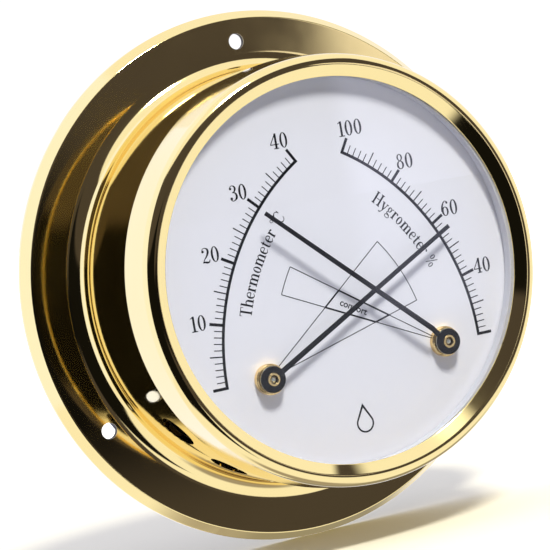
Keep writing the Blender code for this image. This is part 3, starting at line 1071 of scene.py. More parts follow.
GLYPHS: dict[str, Glyph] = {
    "0": Glyph(0.66, rings=((0.31, 0.5, 0.27, 0.5, 0.145),)),
    "1": Glyph(0.50, (stem(0.27, 0, 1.0), foot(0.27, 0, 0.2), ((0.06, 0.86, 0.04), (0.27, 0.97, 0.07)))),
    "2": Glyph(
        0.62,
        (((0.07, 0.78, 0.05), (0.14, 0.94, 0.045), (0.30, 0.98, 0.05), (0.45, 0.88, 0.11),
          (0.47, 0.70, 0.14), (0.36, 0.47, 0.10), (0.19, 0.27, 0.06), (0.06, 0.06, 0.045)),
         ((0.05, 0.06, 0.06), (0.17, 0.10, 0.10), (0.34, 0.06, 0.13), (0.48, 0.07, 0.08),
          (0.55, 0.22, 0.04))),
        dots=((0.13, 0.77, 0.085),),
    ),
    "3": Glyph(
        0.62,
        (((0.08, 0.82, 0.05), (0.16, 0.95, 0.045), (0.29, 0.98, 0.05), (0.43, 0.88, 0.11),
          (0.44, 0.72, 0.13), (0.35, 0.58, 0.07), (0.22, 0.54, 0.045)),
         ((0.22, 0.54, 0.045), (0.38, 0.52, 0.07), (0.49, 0.38, 0.13), (0.48, 0.18, 0.14),
          (0.34, 0.04, 0.06), (0.19, 0.02, 0.05), (0.08, 0.12, 0.05))),
        dots=((0.13, 0.80, 0.08), (0.13, 0.17, 0.085)),
    ),
    "4": Glyph(
        0.68,
        (stem(0.44, 0, 1.0), foot(0.44, 0, 0.17), ((0.44, 0.98, HAIR), (0.04, 0.30, HAIR)),
         bar(0.03, 0.63, 0.29)),
    ),
    "6": Glyph(
        0.66,
        (((0.10, 0.30, 0.14), (0.12, 0.60, 0.13), (0.24, 0.87, 0.08), (0.38, 0.98, 0.045),
          (0.52, 0.92, 0.05)),),
        rings=((0.32, 0.31, 0.25, 0.31, 0.13),),
        dots=((0.50, 0.86, 0.075),),
    ),
    "8": Glyph(0.66, rings=((0.32, 0.77, 0.20, 0.23, 0.10), (0.32, 0.28, 0.26, 0.28, 0.13))),
    "T": Glyph(
        0.74,
        (stem(0.36, 0, 1.0), foot(0.36, 0, 0.16), bar(0.03, 0.69, 0.975),
         ((0.05, 0.99, 0.07), (0.04, 0.78, 0.03)), ((0.67, 0.99, 0.07), (0.68, 0.78, 0.03))),
    ),
    "h": Glyph(
        0.66,
        (stem(0.14, 0, 1.02), foot(0.14), bar(0.03, 0.14, 1.0), hump(0.14, 0.36), foot(0.50)),
    ),
    "e": Glyph(
        0.54,
        (bar(0.08, 0.46, 0.35),
         ((0.46, 0.36, 0.07), (0.42, 0.56, 0.08), (0.27, 0.64, 0.05), (0.12, 0.53, 0.11),
          (0.08, 0.32, 0.135), (0.14, 0.11, 0.11), (0.28, 0.02, 0.06), (0.46, 0.13, 0.04))),
    ),
    "r": Glyph(
        0.46,
        (stem(0.14, 0, 0.63), foot(0.14), bar(0.02, 0.14, 0.61),
         ((0.16, 0.44, HAIR), (0.25, 0.60, 0.06), (0.37, 0.60, 0.06))),
        dots=((0.38, 0.55, 0.07),),
    ),
    "m": Glyph(
        0.98,
        (stem(0.14, 0, 0.63), foot(0.14), bar(0.02, 0.14, 0.61), hump(0.14, 0.34), foot(0.48),
         hump(0.48, 0.34), foot(0.82)),
    ),
    "o": Glyph(0.58, rings=((0.28, 0.32, 0.23, 0.33, 0.125),)),
    "t": Glyph(
        0.42,
        (((0.17, 0.82, 0.06), (0.17, 0.60, 0.12), (0.17, 0.16, 0.13), (0.24, 0.03, 0.07),
          (0.36, 0.07, 0.04)), bar(0.03, 0.34, 0.615)),
    ),
    "H": Glyph(
        0.84,
        (stem(0.17, 0, 1), stem(0.65, 0, 1), foot(0.17, 0, 0.15), foot(0.65, 0, 0.15),
         foot(0.17, 1, 0.15), foot(0.65, 1, 0.15), bar(0.17, 0.65, 0.5)),
    ),
    "y": Glyph(
        0.58,
        (((0.10, 0.62, 0.13), (0.31, 0.04, 0.12)),
         ((0.50, 0.62, HAIR), (0.27, -0.10, HAIR), (0.12, -0.28, HAIR)),
         foot(0.11, 0.63, 0.12), foot(0.49, 0.63, 0.10)),
        dots=((0.11, -0.23, 0.06),),
    ),
    "g": Glyph(
        0.58,
        (((0.17, 0.26, HAIR), (0.11, 0.13, 0.06), (0.22, 0.05, 0.09), (0.44, -0.02, 0.10)),
         ((0.42, 0.56, HAIR), (0.54, 0.64, 0.06))),
        rings=((0.25, 0.43, 0.18, 0.21, 0.10), (0.28, -0.13, 0.23, 0.15, 0.06)),
    ),
    "C": Glyph(
        0.76,
        (((0.66, 0.74, 0.04), (0.58, 0.93, 0.05), (0.40, 0.98, 0.06), (0.18, 0.84, 0.12),
          (0.10, 0.50, 0.16), (0.18, 0.16, 0.12), (0.40, 0.02, 0.06), (0.58, 0.08, 0.05),
          (0.68, 0.26, 0.04)), ((0.67, 0.98, 0.04), (0.66, 0.70, 0.06))),
    ),
    "°": Glyph(0.34, rings=((0.15, 0.84, 0.13, 0.14, 0.05),)),
    "%": Glyph(
        0.86,
        (((0.62, 0.98, HAIR), (0.20, 0.02, HAIR)),),
        rings=((0.20, 0.74, 0.15, 0.23, 0.08), (0.62, 0.25, 0.15, 0.23, 0.08)),
    ),
    " ": Glyph(0.34),
}


class Pen:
    """Turns a glyph's strokes, rings and dots into flat outlines."""

    @staticmethod
    def curve(knots: Stroke) -> list[Knot]:
        """Draws an even curve through a stroke's knots.

        Args:
            knots: The stroke's (x, y, width) knots.

        Returns:
            The finer row of knots.
        """
        if len(knots) < 3:
            return list(knots)
        path = []
        for i in range(len(knots) - 1):
            a, b, c, d = (knots[max(0, min(len(knots) - 1, i + k))] for k in (-1, 0, 1, 2))
            for j in range(CURVE_STEPS):
                t = j / CURVE_STEPS
                path.append(tuple(
                    0.5 * (2 * q + (r - p) * t + (2 * p - 5 * q + 4 * r - s) * t * t
                           + (3 * q - p - 3 * r + s) * t ** 3)
                    for p, q, r, s in zip(a, b, c, d)
                ))
        return [*path, tuple(knots[-1])]

    @staticmethod
    def ribbon(path: Stroke) -> Outline:
        """Gives the outline of a pen that follows a path.

        Args:
            path: The (x, y, pen width) points.

        Returns:
            The outline.
        """
        left, right = [], []
        for i, (x, y, width) in enumerate(path):
            before, after = path[max(0, i - 1)], path[min(len(path) - 1, i + 1)]
            ahead = Vector((after[0] - before[0], after[1] - before[1])).normalized() * width / 2
            left.append((x - ahead.y, y + ahead.x))
            right.append((x + ahead.y, y - ahead.x))
        return left + right[::-1]

    @staticmethod
    def oval(x: float, y: float, half_w: float, half_h: float, count: int = 40) -> Outline:
        """Gives an ellipse.

        Args:
            x: Its middle, across.
            y: Its middle, up.
            half_w: Half its width.
            half_h: Half its height.
            count: How many points it has.

        Returns:
            The outline.
        """
        turns = (math.tau * i / count for i in range(count))
        return [(x + half_w * math.cos(t), y + half_h * math.sin(t)) for t in turns]

    @classmethod
    def shapes(cls, glyph: Glyph) -> list[Shape]:
        """Draws a glyph's filled shapes.

        Args:
            glyph: The glyph.

        Returns:
            Its shapes, in shares of the capital height.
        """
        shapes = [[cls.ribbon(cls.curve(stroke))] for stroke in glyph.strokes]
        for x, y, half_w, half_h, thick in glyph.rings:
            thin = min(HAIR, thick) * 0.8  # a bowl's top and bottom are thinner than a hairline
            inner = cls.oval(x, y, half_w - thick, half_h - thin)
            shapes.append([cls.oval(x, y, half_w, half_h), inner[::-1]])
        shapes += [[cls.oval(x, y, radius, radius, 20)] for x, y, radius in glyph.dots]
        return shapes


def placed(shapes: Iterable[Shape], matrix: Matrix) -> list[Shape]:
    """Moves flat shapes.

    Args:
        shapes: The shapes.
        matrix: Where they go, in the plane of the dial.

    Returns:
        The moved shapes.
    """
    return [
        [[tuple((matrix @ Vector((x, y, 0)))[:2]) for x, y in outline] for outline in shape]
        for shape in shapes
    ]


def line(start: Point, end: Point, width: float) -> Shape:
    """Gives a straight printed line.

    Args:
        start: One end.
        end: The other end.
        width: Its width.

    Returns:
        The shape.
    """
    return [Pen.ribbon([(*start, width), (*end, width)])]


@dataclass(frozen=True)
class Scale:
    """One printed scale: an arc about its movement's arbor with ticks that point away from it.

    Attributes:
        arbor: The arbor's place on the dial.
        radius: Middle of the arc's line.
        start: Direction of the lowest reading, in degrees.
        end: Direction of the highest reading.
        numbers: The numbers, each with its step.
        number_radius: Where their middles are.
        divisions: How many steps the scale has.
        middle_every: Steps between the middle ticks.
        heavy_every: Steps between the heavy ticks.
        line: Width of the arc's line.
    """

    arbor: Point
    radius: float
    start: float
    end: float
    numbers: dict[int, str]
    number_radius: float
    divisions: int = 40
    middle_every: int = 5
    heavy_every: int = 10
    line: float = 0.6

    def angle(self, step: float) -> float:
        """Gives a step's direction in degrees."""
        return self.start + (self.end - self.start) * step / self.divisions

    def tick(self, step: int) -> Tick:
        """Gives the kind of mark at a step."""
        if step % self.heavy_every == 0:
            return Tick.HEAVY
        return Tick.MIDDLE if step % self.middle_every == 0 else Tick.FINE

    def comb(self) -> Shape:
        """Draws the arc and its ticks as one outline.

        Returns:
            The comb-like shape.
        """
        outer, inner = self.radius + self.line / 2, self.radius - self.line / 2
        side = math.copysign(1, self.end - self.start)
        there, back = [], []
        for step in range(self.divisions + 1):
            width, length = self.tick(step).value
            angle, tip = self.angle(step), self.radius + length
            for r, way in ((outer, -1), (tip, -1), (tip, 1), (outer, 1)):
                half = math.degrees(width / 2 / r) * side
                there.append(polar(r, angle + way * half, self.arbor))
            half = math.degrees(width / 2 / inner) * side
            back += [polar(inner, angle + way * half, self.arbor) for way in (-1, 1)]
        return [there + back[::-1]]

    def numerals(self, height: float) -> list[Shape]:
        """Gives the upright numbers beside the ticks.

        Args:
            height: Height of a numeral.

        Returns:
            Their shapes.
        """
        shapes = []
        for step, text in self.numbers.items():
            glyphs = [GLYPHS[letter] for letter in text]
            pen = -sum(glyph.width for glyph in glyphs) / 2
            x, z = polar(self.number_radius, self.angle(step), self.arbor)
            for glyph in glyphs:
                place = Matrix.Translation((x, z, 0)) @ Matrix.Scale(height, 4)
                shapes += placed(Pen.shapes(glyph), place @ Matrix.Translation((pen, -0.5, 0)))
                pen += glyph.width
        return shapes


@dataclass(frozen=True)
class CurvedWord:
    """A word that runs clockwise round an arbor, with the tops of its letters outwards.

    Attributes:
        text: The word and its unit.
        arbor: What it runs round.
        radius: Its baseline.
        start: Direction of its first letter's left edge, in degrees.
        end: Direction of its last letter's right edge.
        height: Height of a capital.
    """

    text: str
    arbor: Point
    radius: float
    start: float
    end: float
    height: float = 2.55

    def shapes(self) -> list[Shape]:
        """Sets the letters evenly between the two ends.

        Returns:
            Their shapes.
        """
        glyphs = [GLYPHS[letter] for letter in self.text]
        total = sum(glyph.width for glyph in glyphs)
        shapes, pen = [], 0.0
        for glyph in glyphs:
            angle = self.start + (self.end - self.start) * (pen + glyph.width / 2) / total
            x, z = polar(self.radius, angle, self.arbor)
            turn = Matrix.Rotation(math.radians(angle - 90), 4, "Z")
            place = Matrix.Translation((x, z, 0)) @ turn @ Matrix.Scale(self.height, 4)
            shapes += placed(Pen.shapes(glyph), place @ Matrix.Translation((-glyph.width / 2, 0, 0)))
            pen += glyph.width
        return shapes


@dataclass
class Dial:
    """The enamelled dial plate and everything printed on it.

    Attributes:
        ink: Thickness of the print.
        numeral_height: Height of the numbers.
        thermometer_field: The comfort sector about the thermometer's arbor: radius and two directions.
        hygrometer_field: The same about the hygrometer's arbor.
        fine_line: Width of the sectors' outlines.
        field_line: Width of the comfort field's outline.
        line_start: How far from an arbor the sectors' sides begin.
        lift: Gap between the plate and the print.
        caption_at: Middle of the small word.
        caption_turn: Its turn in degrees.
        caption_size: Its letter size.
        caption_weight: How much its strokes are thickened.
        drop_at: Middle of the drop's round part.
        drop_r: Outside of that part.
        drop_line: Width of the drop's outline.
        room: The plate's room in the model.
        thermometer: The room of the thermometer's bush.
        hygrometer: The room of the hygrometer's bush.
    """

    ink: float = 0.02
    numeral_height: float = 3.05
    thermometer_field: tuple[float, float, float] = (36.8, 145.9, 154.9)
    hygrometer_field: tuple[float, float, float] = (36.0, 14.8, 38.1)
    fine_line: float = 0.17
    field_line: float = 0.34
    line_start: float = 2.0
    lift: float = 0.004
    caption_at: Point = (2.75, -7.9)
    caption_turn: float = -29.5
    caption_size: float = 1.9
    caption_weight: float = 0.03
    drop_at: Point = (1.0, -30.8)
    drop_r: float = 1.9
    drop_line: float = 0.34
    room: Room = field(default_factory=lambda: Room.of("dial_plate"))
    thermometer: Room = field(default_factory=lambda: Room.of("thermometer_bush"))
    hygrometer: Room = field(default_factory=lambda: Room.of("hygrometer_bush"))

    def scales(self) -> dict[str, Scale]:
        """Lays out the two scales.

        Returns:
            Each scale by its piece's name.
        """
        celsius = {10: "10", 20: "20", 30: "30", 40: "40"}
        percent = {10: "40", 20: "60", 30: "80", 40: "100"}
        right, left = self.thermometer.middle, self.hygrometer.middle
        return {
            "celsius_scale": Scale(right, 48.0, 180.0, 122.0, celsius, number_radius=53.3),
            "percent_scale": Scale(left, 47.35, 0.0, 59.6, percent, number_radius=52.6),
        }

    def words(self) -> dict[str, CurvedWord]:
        """Lays out the two words, each with its unit.

        Returns:
            Each word by its piece's name.
        """
        right, left = self.thermometer.middle, self.hygrometer.middle
        return {
            "thermometer_word": CurvedWord("Thermometer °C", right, 42.3, 163.0, 134.3),
            "hygrometer_word": CurvedWord("Hygrometer %", left, 41.6, 46.8, 20.8),
        }

    def sector(self, arbor: Point, radius: float, first: float, last: float) -> list[Shape]:
        """Gives the thin outline of a comfort sector.

        Args:
            arbor: Its middle.
            radius: Its outer radius.
            first: One side's direction.
            last: The other side's direction.

        Returns:
            Its two sides and its arc.
        """
        arc = [(*point, self.fine_line) for point in sweep(radius, first, last, arbor, 1.0)]
        sides = [
            line(polar(self.line_start, angle, arbor), polar(radius, angle, arbor), self.fine_line)
            for angle in (first, last)
        ]
        return [*sides, [Pen.ribbon(arc)]]

    def crossing(self, left: Point, angle_left: float, right: Point, angle_right: float) -> Point:
        """Gives the point where a side of one sector crosses a side of the other.

        Args:
            left: The hygrometer's arbor.
            angle_left: The direction from it.
            right: The thermometer's arbor.
            angle_right: The direction from it.

        Returns:
            The crossing.
        """
        a, b = math.tan(math.radians(angle_left)), math.tan(math.radians(angle_right))
        x = (right[1] - left[1] + a * left[0] - b * right[0]) / (a - b)
        return x, left[1] + a * (x - left[0])

    def comfort(self) -> list[Shape]:
        """Draws the two sectors and the heavy field where they cross.

        Returns:
            Their shapes.
        """
        right, left = self.thermometer.middle, self.hygrometer.middle
        shapes = self.sector(right, *self.thermometer_field) + self.sector(left, *self.hygrometer_field)
        low, high = self.hygrometer_field[1:]
        steep, flat = self.thermometer_field[1:]
        corners = [
            self.crossing(left, angle_left, right, angle_right)
            for angle_left, angle_right in ((low, steep), (high, steep), (high, flat), (low, flat))
        ]
        for start, end in zip(corners, corners[1:] + corners[:1]):
            shapes.append(line(start, end, self.field_line))
        return shapes

    def caption(self) -> bpy.types.Object:
        """Sets the small word inside the comfort field.

        Returns:
            The word as a mesh.
        """
        deselect()
        bpy.ops.object.text_add()
        word = bpy.context.object
        word.data.body = "comfort"
        word.data.size = self.caption_size * MM
        word.data.align_x = "CENTER"
        word.data.align_y = "CENTER"
        word.data.extrude = self.ink / 2 * MM
        word.data.offset = self.caption_weight * MM
        x, z = self.caption_at
        place = Matrix.Translation((x * MM, -(self.room.front + self.ink / 2) * MM, z * MM))
        turn = Matrix.Rotation(math.radians(self.caption_turn), 4, "Z")
        word.matrix_world = place @ Matrix.Rotation(math.pi / 2, 4, "X") @ turn
        bpy.ops.object.convert(target="MESH")
        word.name = "comfort_caption"
        return settle(word)

    def drop(self) -> list[Shape]:
        """Draws the plain water drop near the dial's lower edge.

        Returns:
            Its shapes.
        """
        x, z = self.drop_at
        tip = z + 2.1 * self.drop_r
        outer = [(x, tip), *sweep(self.drop_r, 25, -205, self.drop_at, 10)]
        inner = [(x, tip - 2.6 * self.drop_line)]
        inner += sweep(self.drop_r - self.drop_line, 25, -205, self.drop_at, 10)
        return [[outer, inner[::-1]]]

    def build(self) -> None:
        """Prints the plate."""
        printed = {
            name: [scale.comb(), *scale.numerals(self.numeral_height)]
            for name, scale in self.scales().items()
        }
        printed |= {name: word.shapes() for name, word in self.words().items()}
        printed |= {"comfort_field": self.comfort(), "drop_mark": self.drop()}
        depth = self.room.front + self.lift
        pieces = [flat_piece(name, shapes, depth, self.ink) for name, shapes in printed.items()]
        for piece in (*pieces, self.caption()):
            mount(piece, "housing", "black_hand", INK)


# ---------------------------------------------------------------- hubs and hands


@dataclass
class Hub:
    """What shows of one movement on the dial: bush head, hand, collet and the arbor's end.

    Attributes:
        movement: Which movement.
        angle: Where its hand points, in degrees.
        length: From the arbor to the hand's tip.
        crank: How far the arm steps forward past the hub.
        bush_r: Outside of the bush's head.
        neck_r: Outside of the bush's front face.
        hub_r: Outside of the black hub.
        hub: The hub's two levels.
        boss: Where the bright boss ends and the black cap begins.
        collet_r: Outside of the brass collet.
        bore_r: Inside of the collet.
        arm_depth: Depth of the arm's back where it leaves the hub.
        arm_t: Thickness of the arm.
        arm_w: Width of the arm at its root and at its tip.
        arm_edge: Bevel of the arm's edges.
        crank_at: Where the step begins and ends.
        barrel_r: Outside of the bush behind its head.
        head_break: Height of the slope at the bush's front.
        play: Gap that keeps close pieces apart.
        pivot_r: Radius of the arbor's rear pivot.
        pivot_t: Length of that pivot.
        bush: The bush's room in the model.
        collet: The collet's.
        dial: The dial plate's.
    """

    movement: Movement
    angle: float
    length: float
    crank: float = 0.0
    bush_r: float = 3.05
    neck_r: float = 2.8
    hub_r: float = 2.6
    hub: Point = (31.7, 32.5)
    boss: float = 32.05
    collet_r: float = 1.3
    bore_r: float = 0.82
    arm_depth: float = 32.1
    arm_t: float = 0.3
    arm_w: Point = (1.1, 0.82)
    arm_edge: float = 0.06
    crank_at: Point = (2.8, 4.8)
    barrel_r: float = 2.3
    head_break: float = 0.25
    play: float = 0.03
    pivot_r: float = 0.4
    pivot_t: float = 2.1
    bush: Room = field(init=False)
    collet: Room = field(init=False)
    dial: Room = field(default_factory=lambda: Room.of("dial_plate"))

    def __post_init__(self) -> None:
        """Measures the movement's bush and collet."""
        self.bush = Room.of(self.called("bush"))
        self.collet = Room.of(self.called("hand_collet"))

    @property
    def axis(self) -> Point:
        """The arbor's place."""
        return self.bush.middle

    def called(self, part: str) -> str:
        """Gives the full name of one of the movement's parts."""
        return f"{self.movement.value}_{part}"

    def finish(self, base: TurnedFinish, name: str) -> TurnedFinish:
        """Gives a turned finish whose rings run round this arbor.

        Args:
            base: The finish.
            name: What the finish is called here.

        Returns:
            The finish on this axis.
        """
        return replace(base, name=self.called(name), axis=self.axis)

    def build_bush(self) -> None:
        """Turns the brass bush whose head stands on the dial."""
        front, rear, bore = self.bush.front, self.bush.rear, self.collet_r - 0.1
        seat = self.dial.front + self.play
        outline = rounded([
            (self.bush_r, seat, 0.08),
            (self.bush_r, front - self.head_break, 0.05),
            (self.neck_r, front, 0.05),
            (bore, front, 0.05),
            (bore, rear, 0),
            (self.barrel_r, rear, 0.1),
            (self.barrel_r, seat, 0),
        ])
        piece = turned(self.called("bush_head"), outline, SMALL_STEPS * 2, self.axis)
        finish = self.finish(HUB_BRASS, "hub_brass")
        mount(piece, "housing", "turned_brass", finish, self.called("bush"))

    def arm(self) -> bpy.types.Object:
        """Draws out, bends and thickens the arm.

        Returns:
            The arm, on its arbor and at its angle.
        """
        deselect()
        level = self.arm_depth + self.arm_t / 2
        start = (self.collet_r + self.hub_r) / 2
        root, tip = self.arm_w
        width = root * MM
        bpy.ops.mesh.primitive_plane_add(
            size=width, location=(start * MM, -level * MM, 0), rotation=(math.pi / 2, 0, 0),
        )
        arm = bpy.context.object
        bpy.ops.object.mode_set(mode="EDIT")
        mesh = bmesh.from_edit_mesh(arm.data)
        for edge in mesh.edges:
            edge.select_set(all(vert.co.x > 0 for vert in edge.verts))
        bmesh.update_edit_mesh(arm.data)
        here, height = start + root / 2, level
        stations = [(self.length, level + self.crank)]
        if self.crank:
            stations = [(self.crank_at[0], level), (self.crank_at[1], level + self.crank), *stations]
        for x, depth in stations:
            before = root + (tip - root) * here / self.length
            after = root + (tip - root) * x / self.length
            step = ((x - here) * MM, (height - depth) * MM, 0)
            bpy.ops.mesh.extrude_edges_move(TRANSFORM_OT_translate={"value": step})
            bpy.ops.transform.resize(value=(1, 1, after / before), center_override=(x * MM, -depth * MM, 0))
            here, height = x, depth
        bpy.ops.object.mode_set(mode="OBJECT")
        choose(arm)
        wall = arm.modifiers.new("strip", "SOLIDIFY")
        wall.thickness = self.arm_t * MM
        wall.offset = 0
        bpy.ops.object.modifier_apply(modifier=wall.name)
        bpy.ops.object.transform_apply(location=True, rotation=True, scale=True)
        bevelled(arm, self.arm_edge)
        arm.location = (self.axis[0] * MM, 0, self.axis[1] * MM)
        arm.rotation_euler = (0, -math.radians(self.angle), 0)
        return settle(arm)

    def build_hand(self) -> None:
        """Makes the hub from a bright boss and a black cap, and joins the arm to the cap."""
        rear, front = self.hub
        bore, boss_front = self.collet_r + self.play, self.boss - 0.01
        body = self.called("pointer")
        boss = turned(self.called("hub_boss"), rounded([
            (bore, rear, 0), (self.hub_r, rear, 0.1), (self.hub_r, boss_front, 0.03), (bore, boss_front, 0),
        ]), SMALL_STEPS * 2, self.axis)
        mount(boss, body, "steel", self.finish(STEEL, "boss_steel"))
        cap = turned(self.called("black_hand"), rounded([
            (bore, self.boss, 0), (self.hub_r, self.boss, 0.04),
            (self.hub_r, front, 0.15), (bore, front, 0.06),
        ]), SMALL_STEPS * 2, self.axis)
        combine(cap, [self.arm()], Cut.JOIN)
        mount(cap, body, "black_hand", LACQUER, self.called("hand"))

    def build_collet(self) -> None:
        """Turns the brass tube in the hub's middle and the arbor's rounded end inside it."""
        body = self.called("pointer")
        tube = turned(self.called("brass_collet"), rounded([
            (self.collet_r, self.collet.rear, 0.05), (self.collet_r, self.collet.front, 0.12),
            (self.bore_r, self.collet.front, 0.10), (self.bore_r, self.collet.rear, 0),
        ]), SMALL_STEPS, self.axis)
        finish = self.finish(HUB_BRASS, "hub_brass")
        mount(tube, body, "turned_brass", finish, self.called("hand_collet"))
        arbor = Room.of(self.called("arbor"))
        step = arbor.rear + self.pivot_t
        pin = turned(self.called("steel_arbor"), rounded([
            (0, arbor.rear, 0), (self.pivot_r, arbor.rear, 0.1), (self.pivot_r, step, 0),
            (arbor.radius, step, 0.05), (arbor.radius, arbor.front, 0.28), (0, arbor.front, 0),
        ], closed=False), SMALL_STEPS, self.axis)
        mount(pin, body, "steel", self.finish(STEEL, "arbor_steel"), self.called("arbor"))

    def build(self) -> None:
        """Makes the whole hub."""
        self.build_bush()
        self.build_hand()
        self.build_collet()


# ---------------------------------------------------------------- the back and the movement


@dataclass
class Back:
    """The moulded cover that closes the case from behind, and its three screws.

    Attributes:
        dish_r: Radius of the shallow dish in its middle.
        dish: Depth of that dish.
        edge: Radius of the rounded edge.
        hole_r: Radius of a screw's counterbore.
        hole_t: Depth of that counterbore.
        shank_hole_r: Radius of a screw's hole.
        shank_r: Radius of a screw's shank.
        head_t: Height of a screw's head.
        slot_w: Width of its slot.
        slot_turn: How much each copied screw is turned for each place further on, in degrees.
        room: The cover's room in the model.
        screws: The rooms of the three screws.
    """

    dish_r: float = 29.0
    dish: float = 0.35
    edge: float = 0.35
    hole_r: float = 2.8
    hole_t: float = 1.2
    shank_hole_r: float = 1.5
    shank_r: float = 1.2
    head_t: float = 0.75
    slot_w: float = 0.75
    slot_turn: float = 50.0
    room: Room = field(default_factory=lambda: Room.of("back_cover"))
    screws: list[Room] = field(default_factory=lambda: [Room.of(f"cover_screw_{i}") for i in (1, 2, 3)])

    def build_cover(self) -> None:
        """Turns the cover and sinks its screw holes."""
        radius, rear, front = self.room.radius, self.room.rear, self.room.front
        dish_level = rear + self.dish
        cover = turned("moulded_back", rounded([
            (0, dish_level, 0), (self.dish_r, dish_level, 0.2), (self.dish_r + self.dish, rear, 0.2),
            (radius, rear, self.edge), (radius, front, self.edge), (0, front, 0),
        ], closed=False))
        floor = rear + self.hole_t
        for screw in self.screws:
            for bore, low, high in ((self.hole_r, -1.0, floor), (self.shank_hole_r, floor - 0.1, front + 1)):
                ends = [Vector((screw.x, -level, screw.z)) for level in (low, high)]
                combine(cover, [rod(*ends, bore)], Cut.AWAY)
        mount(cover, "housing", "black_plastic", BLACK_PLASTIC, "back_cover")

    def build_screws(self) -> None:
        """Turns one slotted screw and copies it to the other two places."""
        first = self.screws[0]
        head, shank, seat = first.radius, self.shank_r, first.rear + self.head_t
        outline = rounded([
            (0, first.rear, 0), (head, first.rear, 0.22), (head, seat, 0.05), (shank, seat, 0),
            (shank, first.front, 0.15), (0, first.front, 0),
        ], closed=False)
        screw = turned("back_screw_1", outline, SMALL_STEPS, first.middle)
        deselect()
        face = Vector((first.x, -first.rear, first.z)) * MM
        bpy.ops.mesh.primitive_cube_add(size=MM, location=face)
        slot = bpy.context.object
        slot.scale = (head * 3, self.slot_w, head * 0.3)
        combine(screw, [slot], Cut.AWAY)
        centre = Matrix.Translation(Vector((first.x, 0, first.z)) * MM)
        for number, there in enumerate(self.screws, 1):
            piece = screw
            if number > 1:
                piece = screw.copy()
                piece.data = screw.data.copy()
                piece.name = f"back_screw_{number}"
                bpy.context.scene.collection.objects.link(piece)
                shift = Vector((there.x - first.x, 0, there.z - first.z)) * MM
                turn = Matrix.Rotation(math.radians(self.slot_turn * number), 4, "Y")
                piece.data.transform(Matrix.Translation(shift) @ centre @ turn @ centre.inverted())
            finish = replace(STEEL, name=f"screw_steel_{number}", axis=there.middle)
            mount(piece, "housing", "steel", finish, f"cover_screw_{number}")

    def build(self) -> None:
        """Makes the screws, then the cover."""
        self.build_screws()
        self.build_cover()


def dress_model(frame: dict) -> None:
    """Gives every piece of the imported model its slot's finish.
    """
    slots = {part["node"]: part["material_slot"] for part in frame["record"]["subparts"]}
    for name, node in frame["nodes"].items():
        finish = SLOT_FINISHES[slots[name]]
        node.data.materials.clear()
        node.data.materials.append(finish.material())
        log.info("%s: dressed in %s", name, finish.name)


# ---------------------------------------------------------------- studio


@dataclass(frozen=True)
class Card:
    """A patch of the studio that surrounds the instrument, seen from its middle.

    Attributes:
        azimuth: Its two sides in degrees, from straight in front towards the right.
        height: Its lower and upper edge in degrees.
        soft: How many degrees its edges take to fade.
        light: Its colour and brightness.
    """

    azimuth: Point
    height: Point
    soft: float
    light: RGB


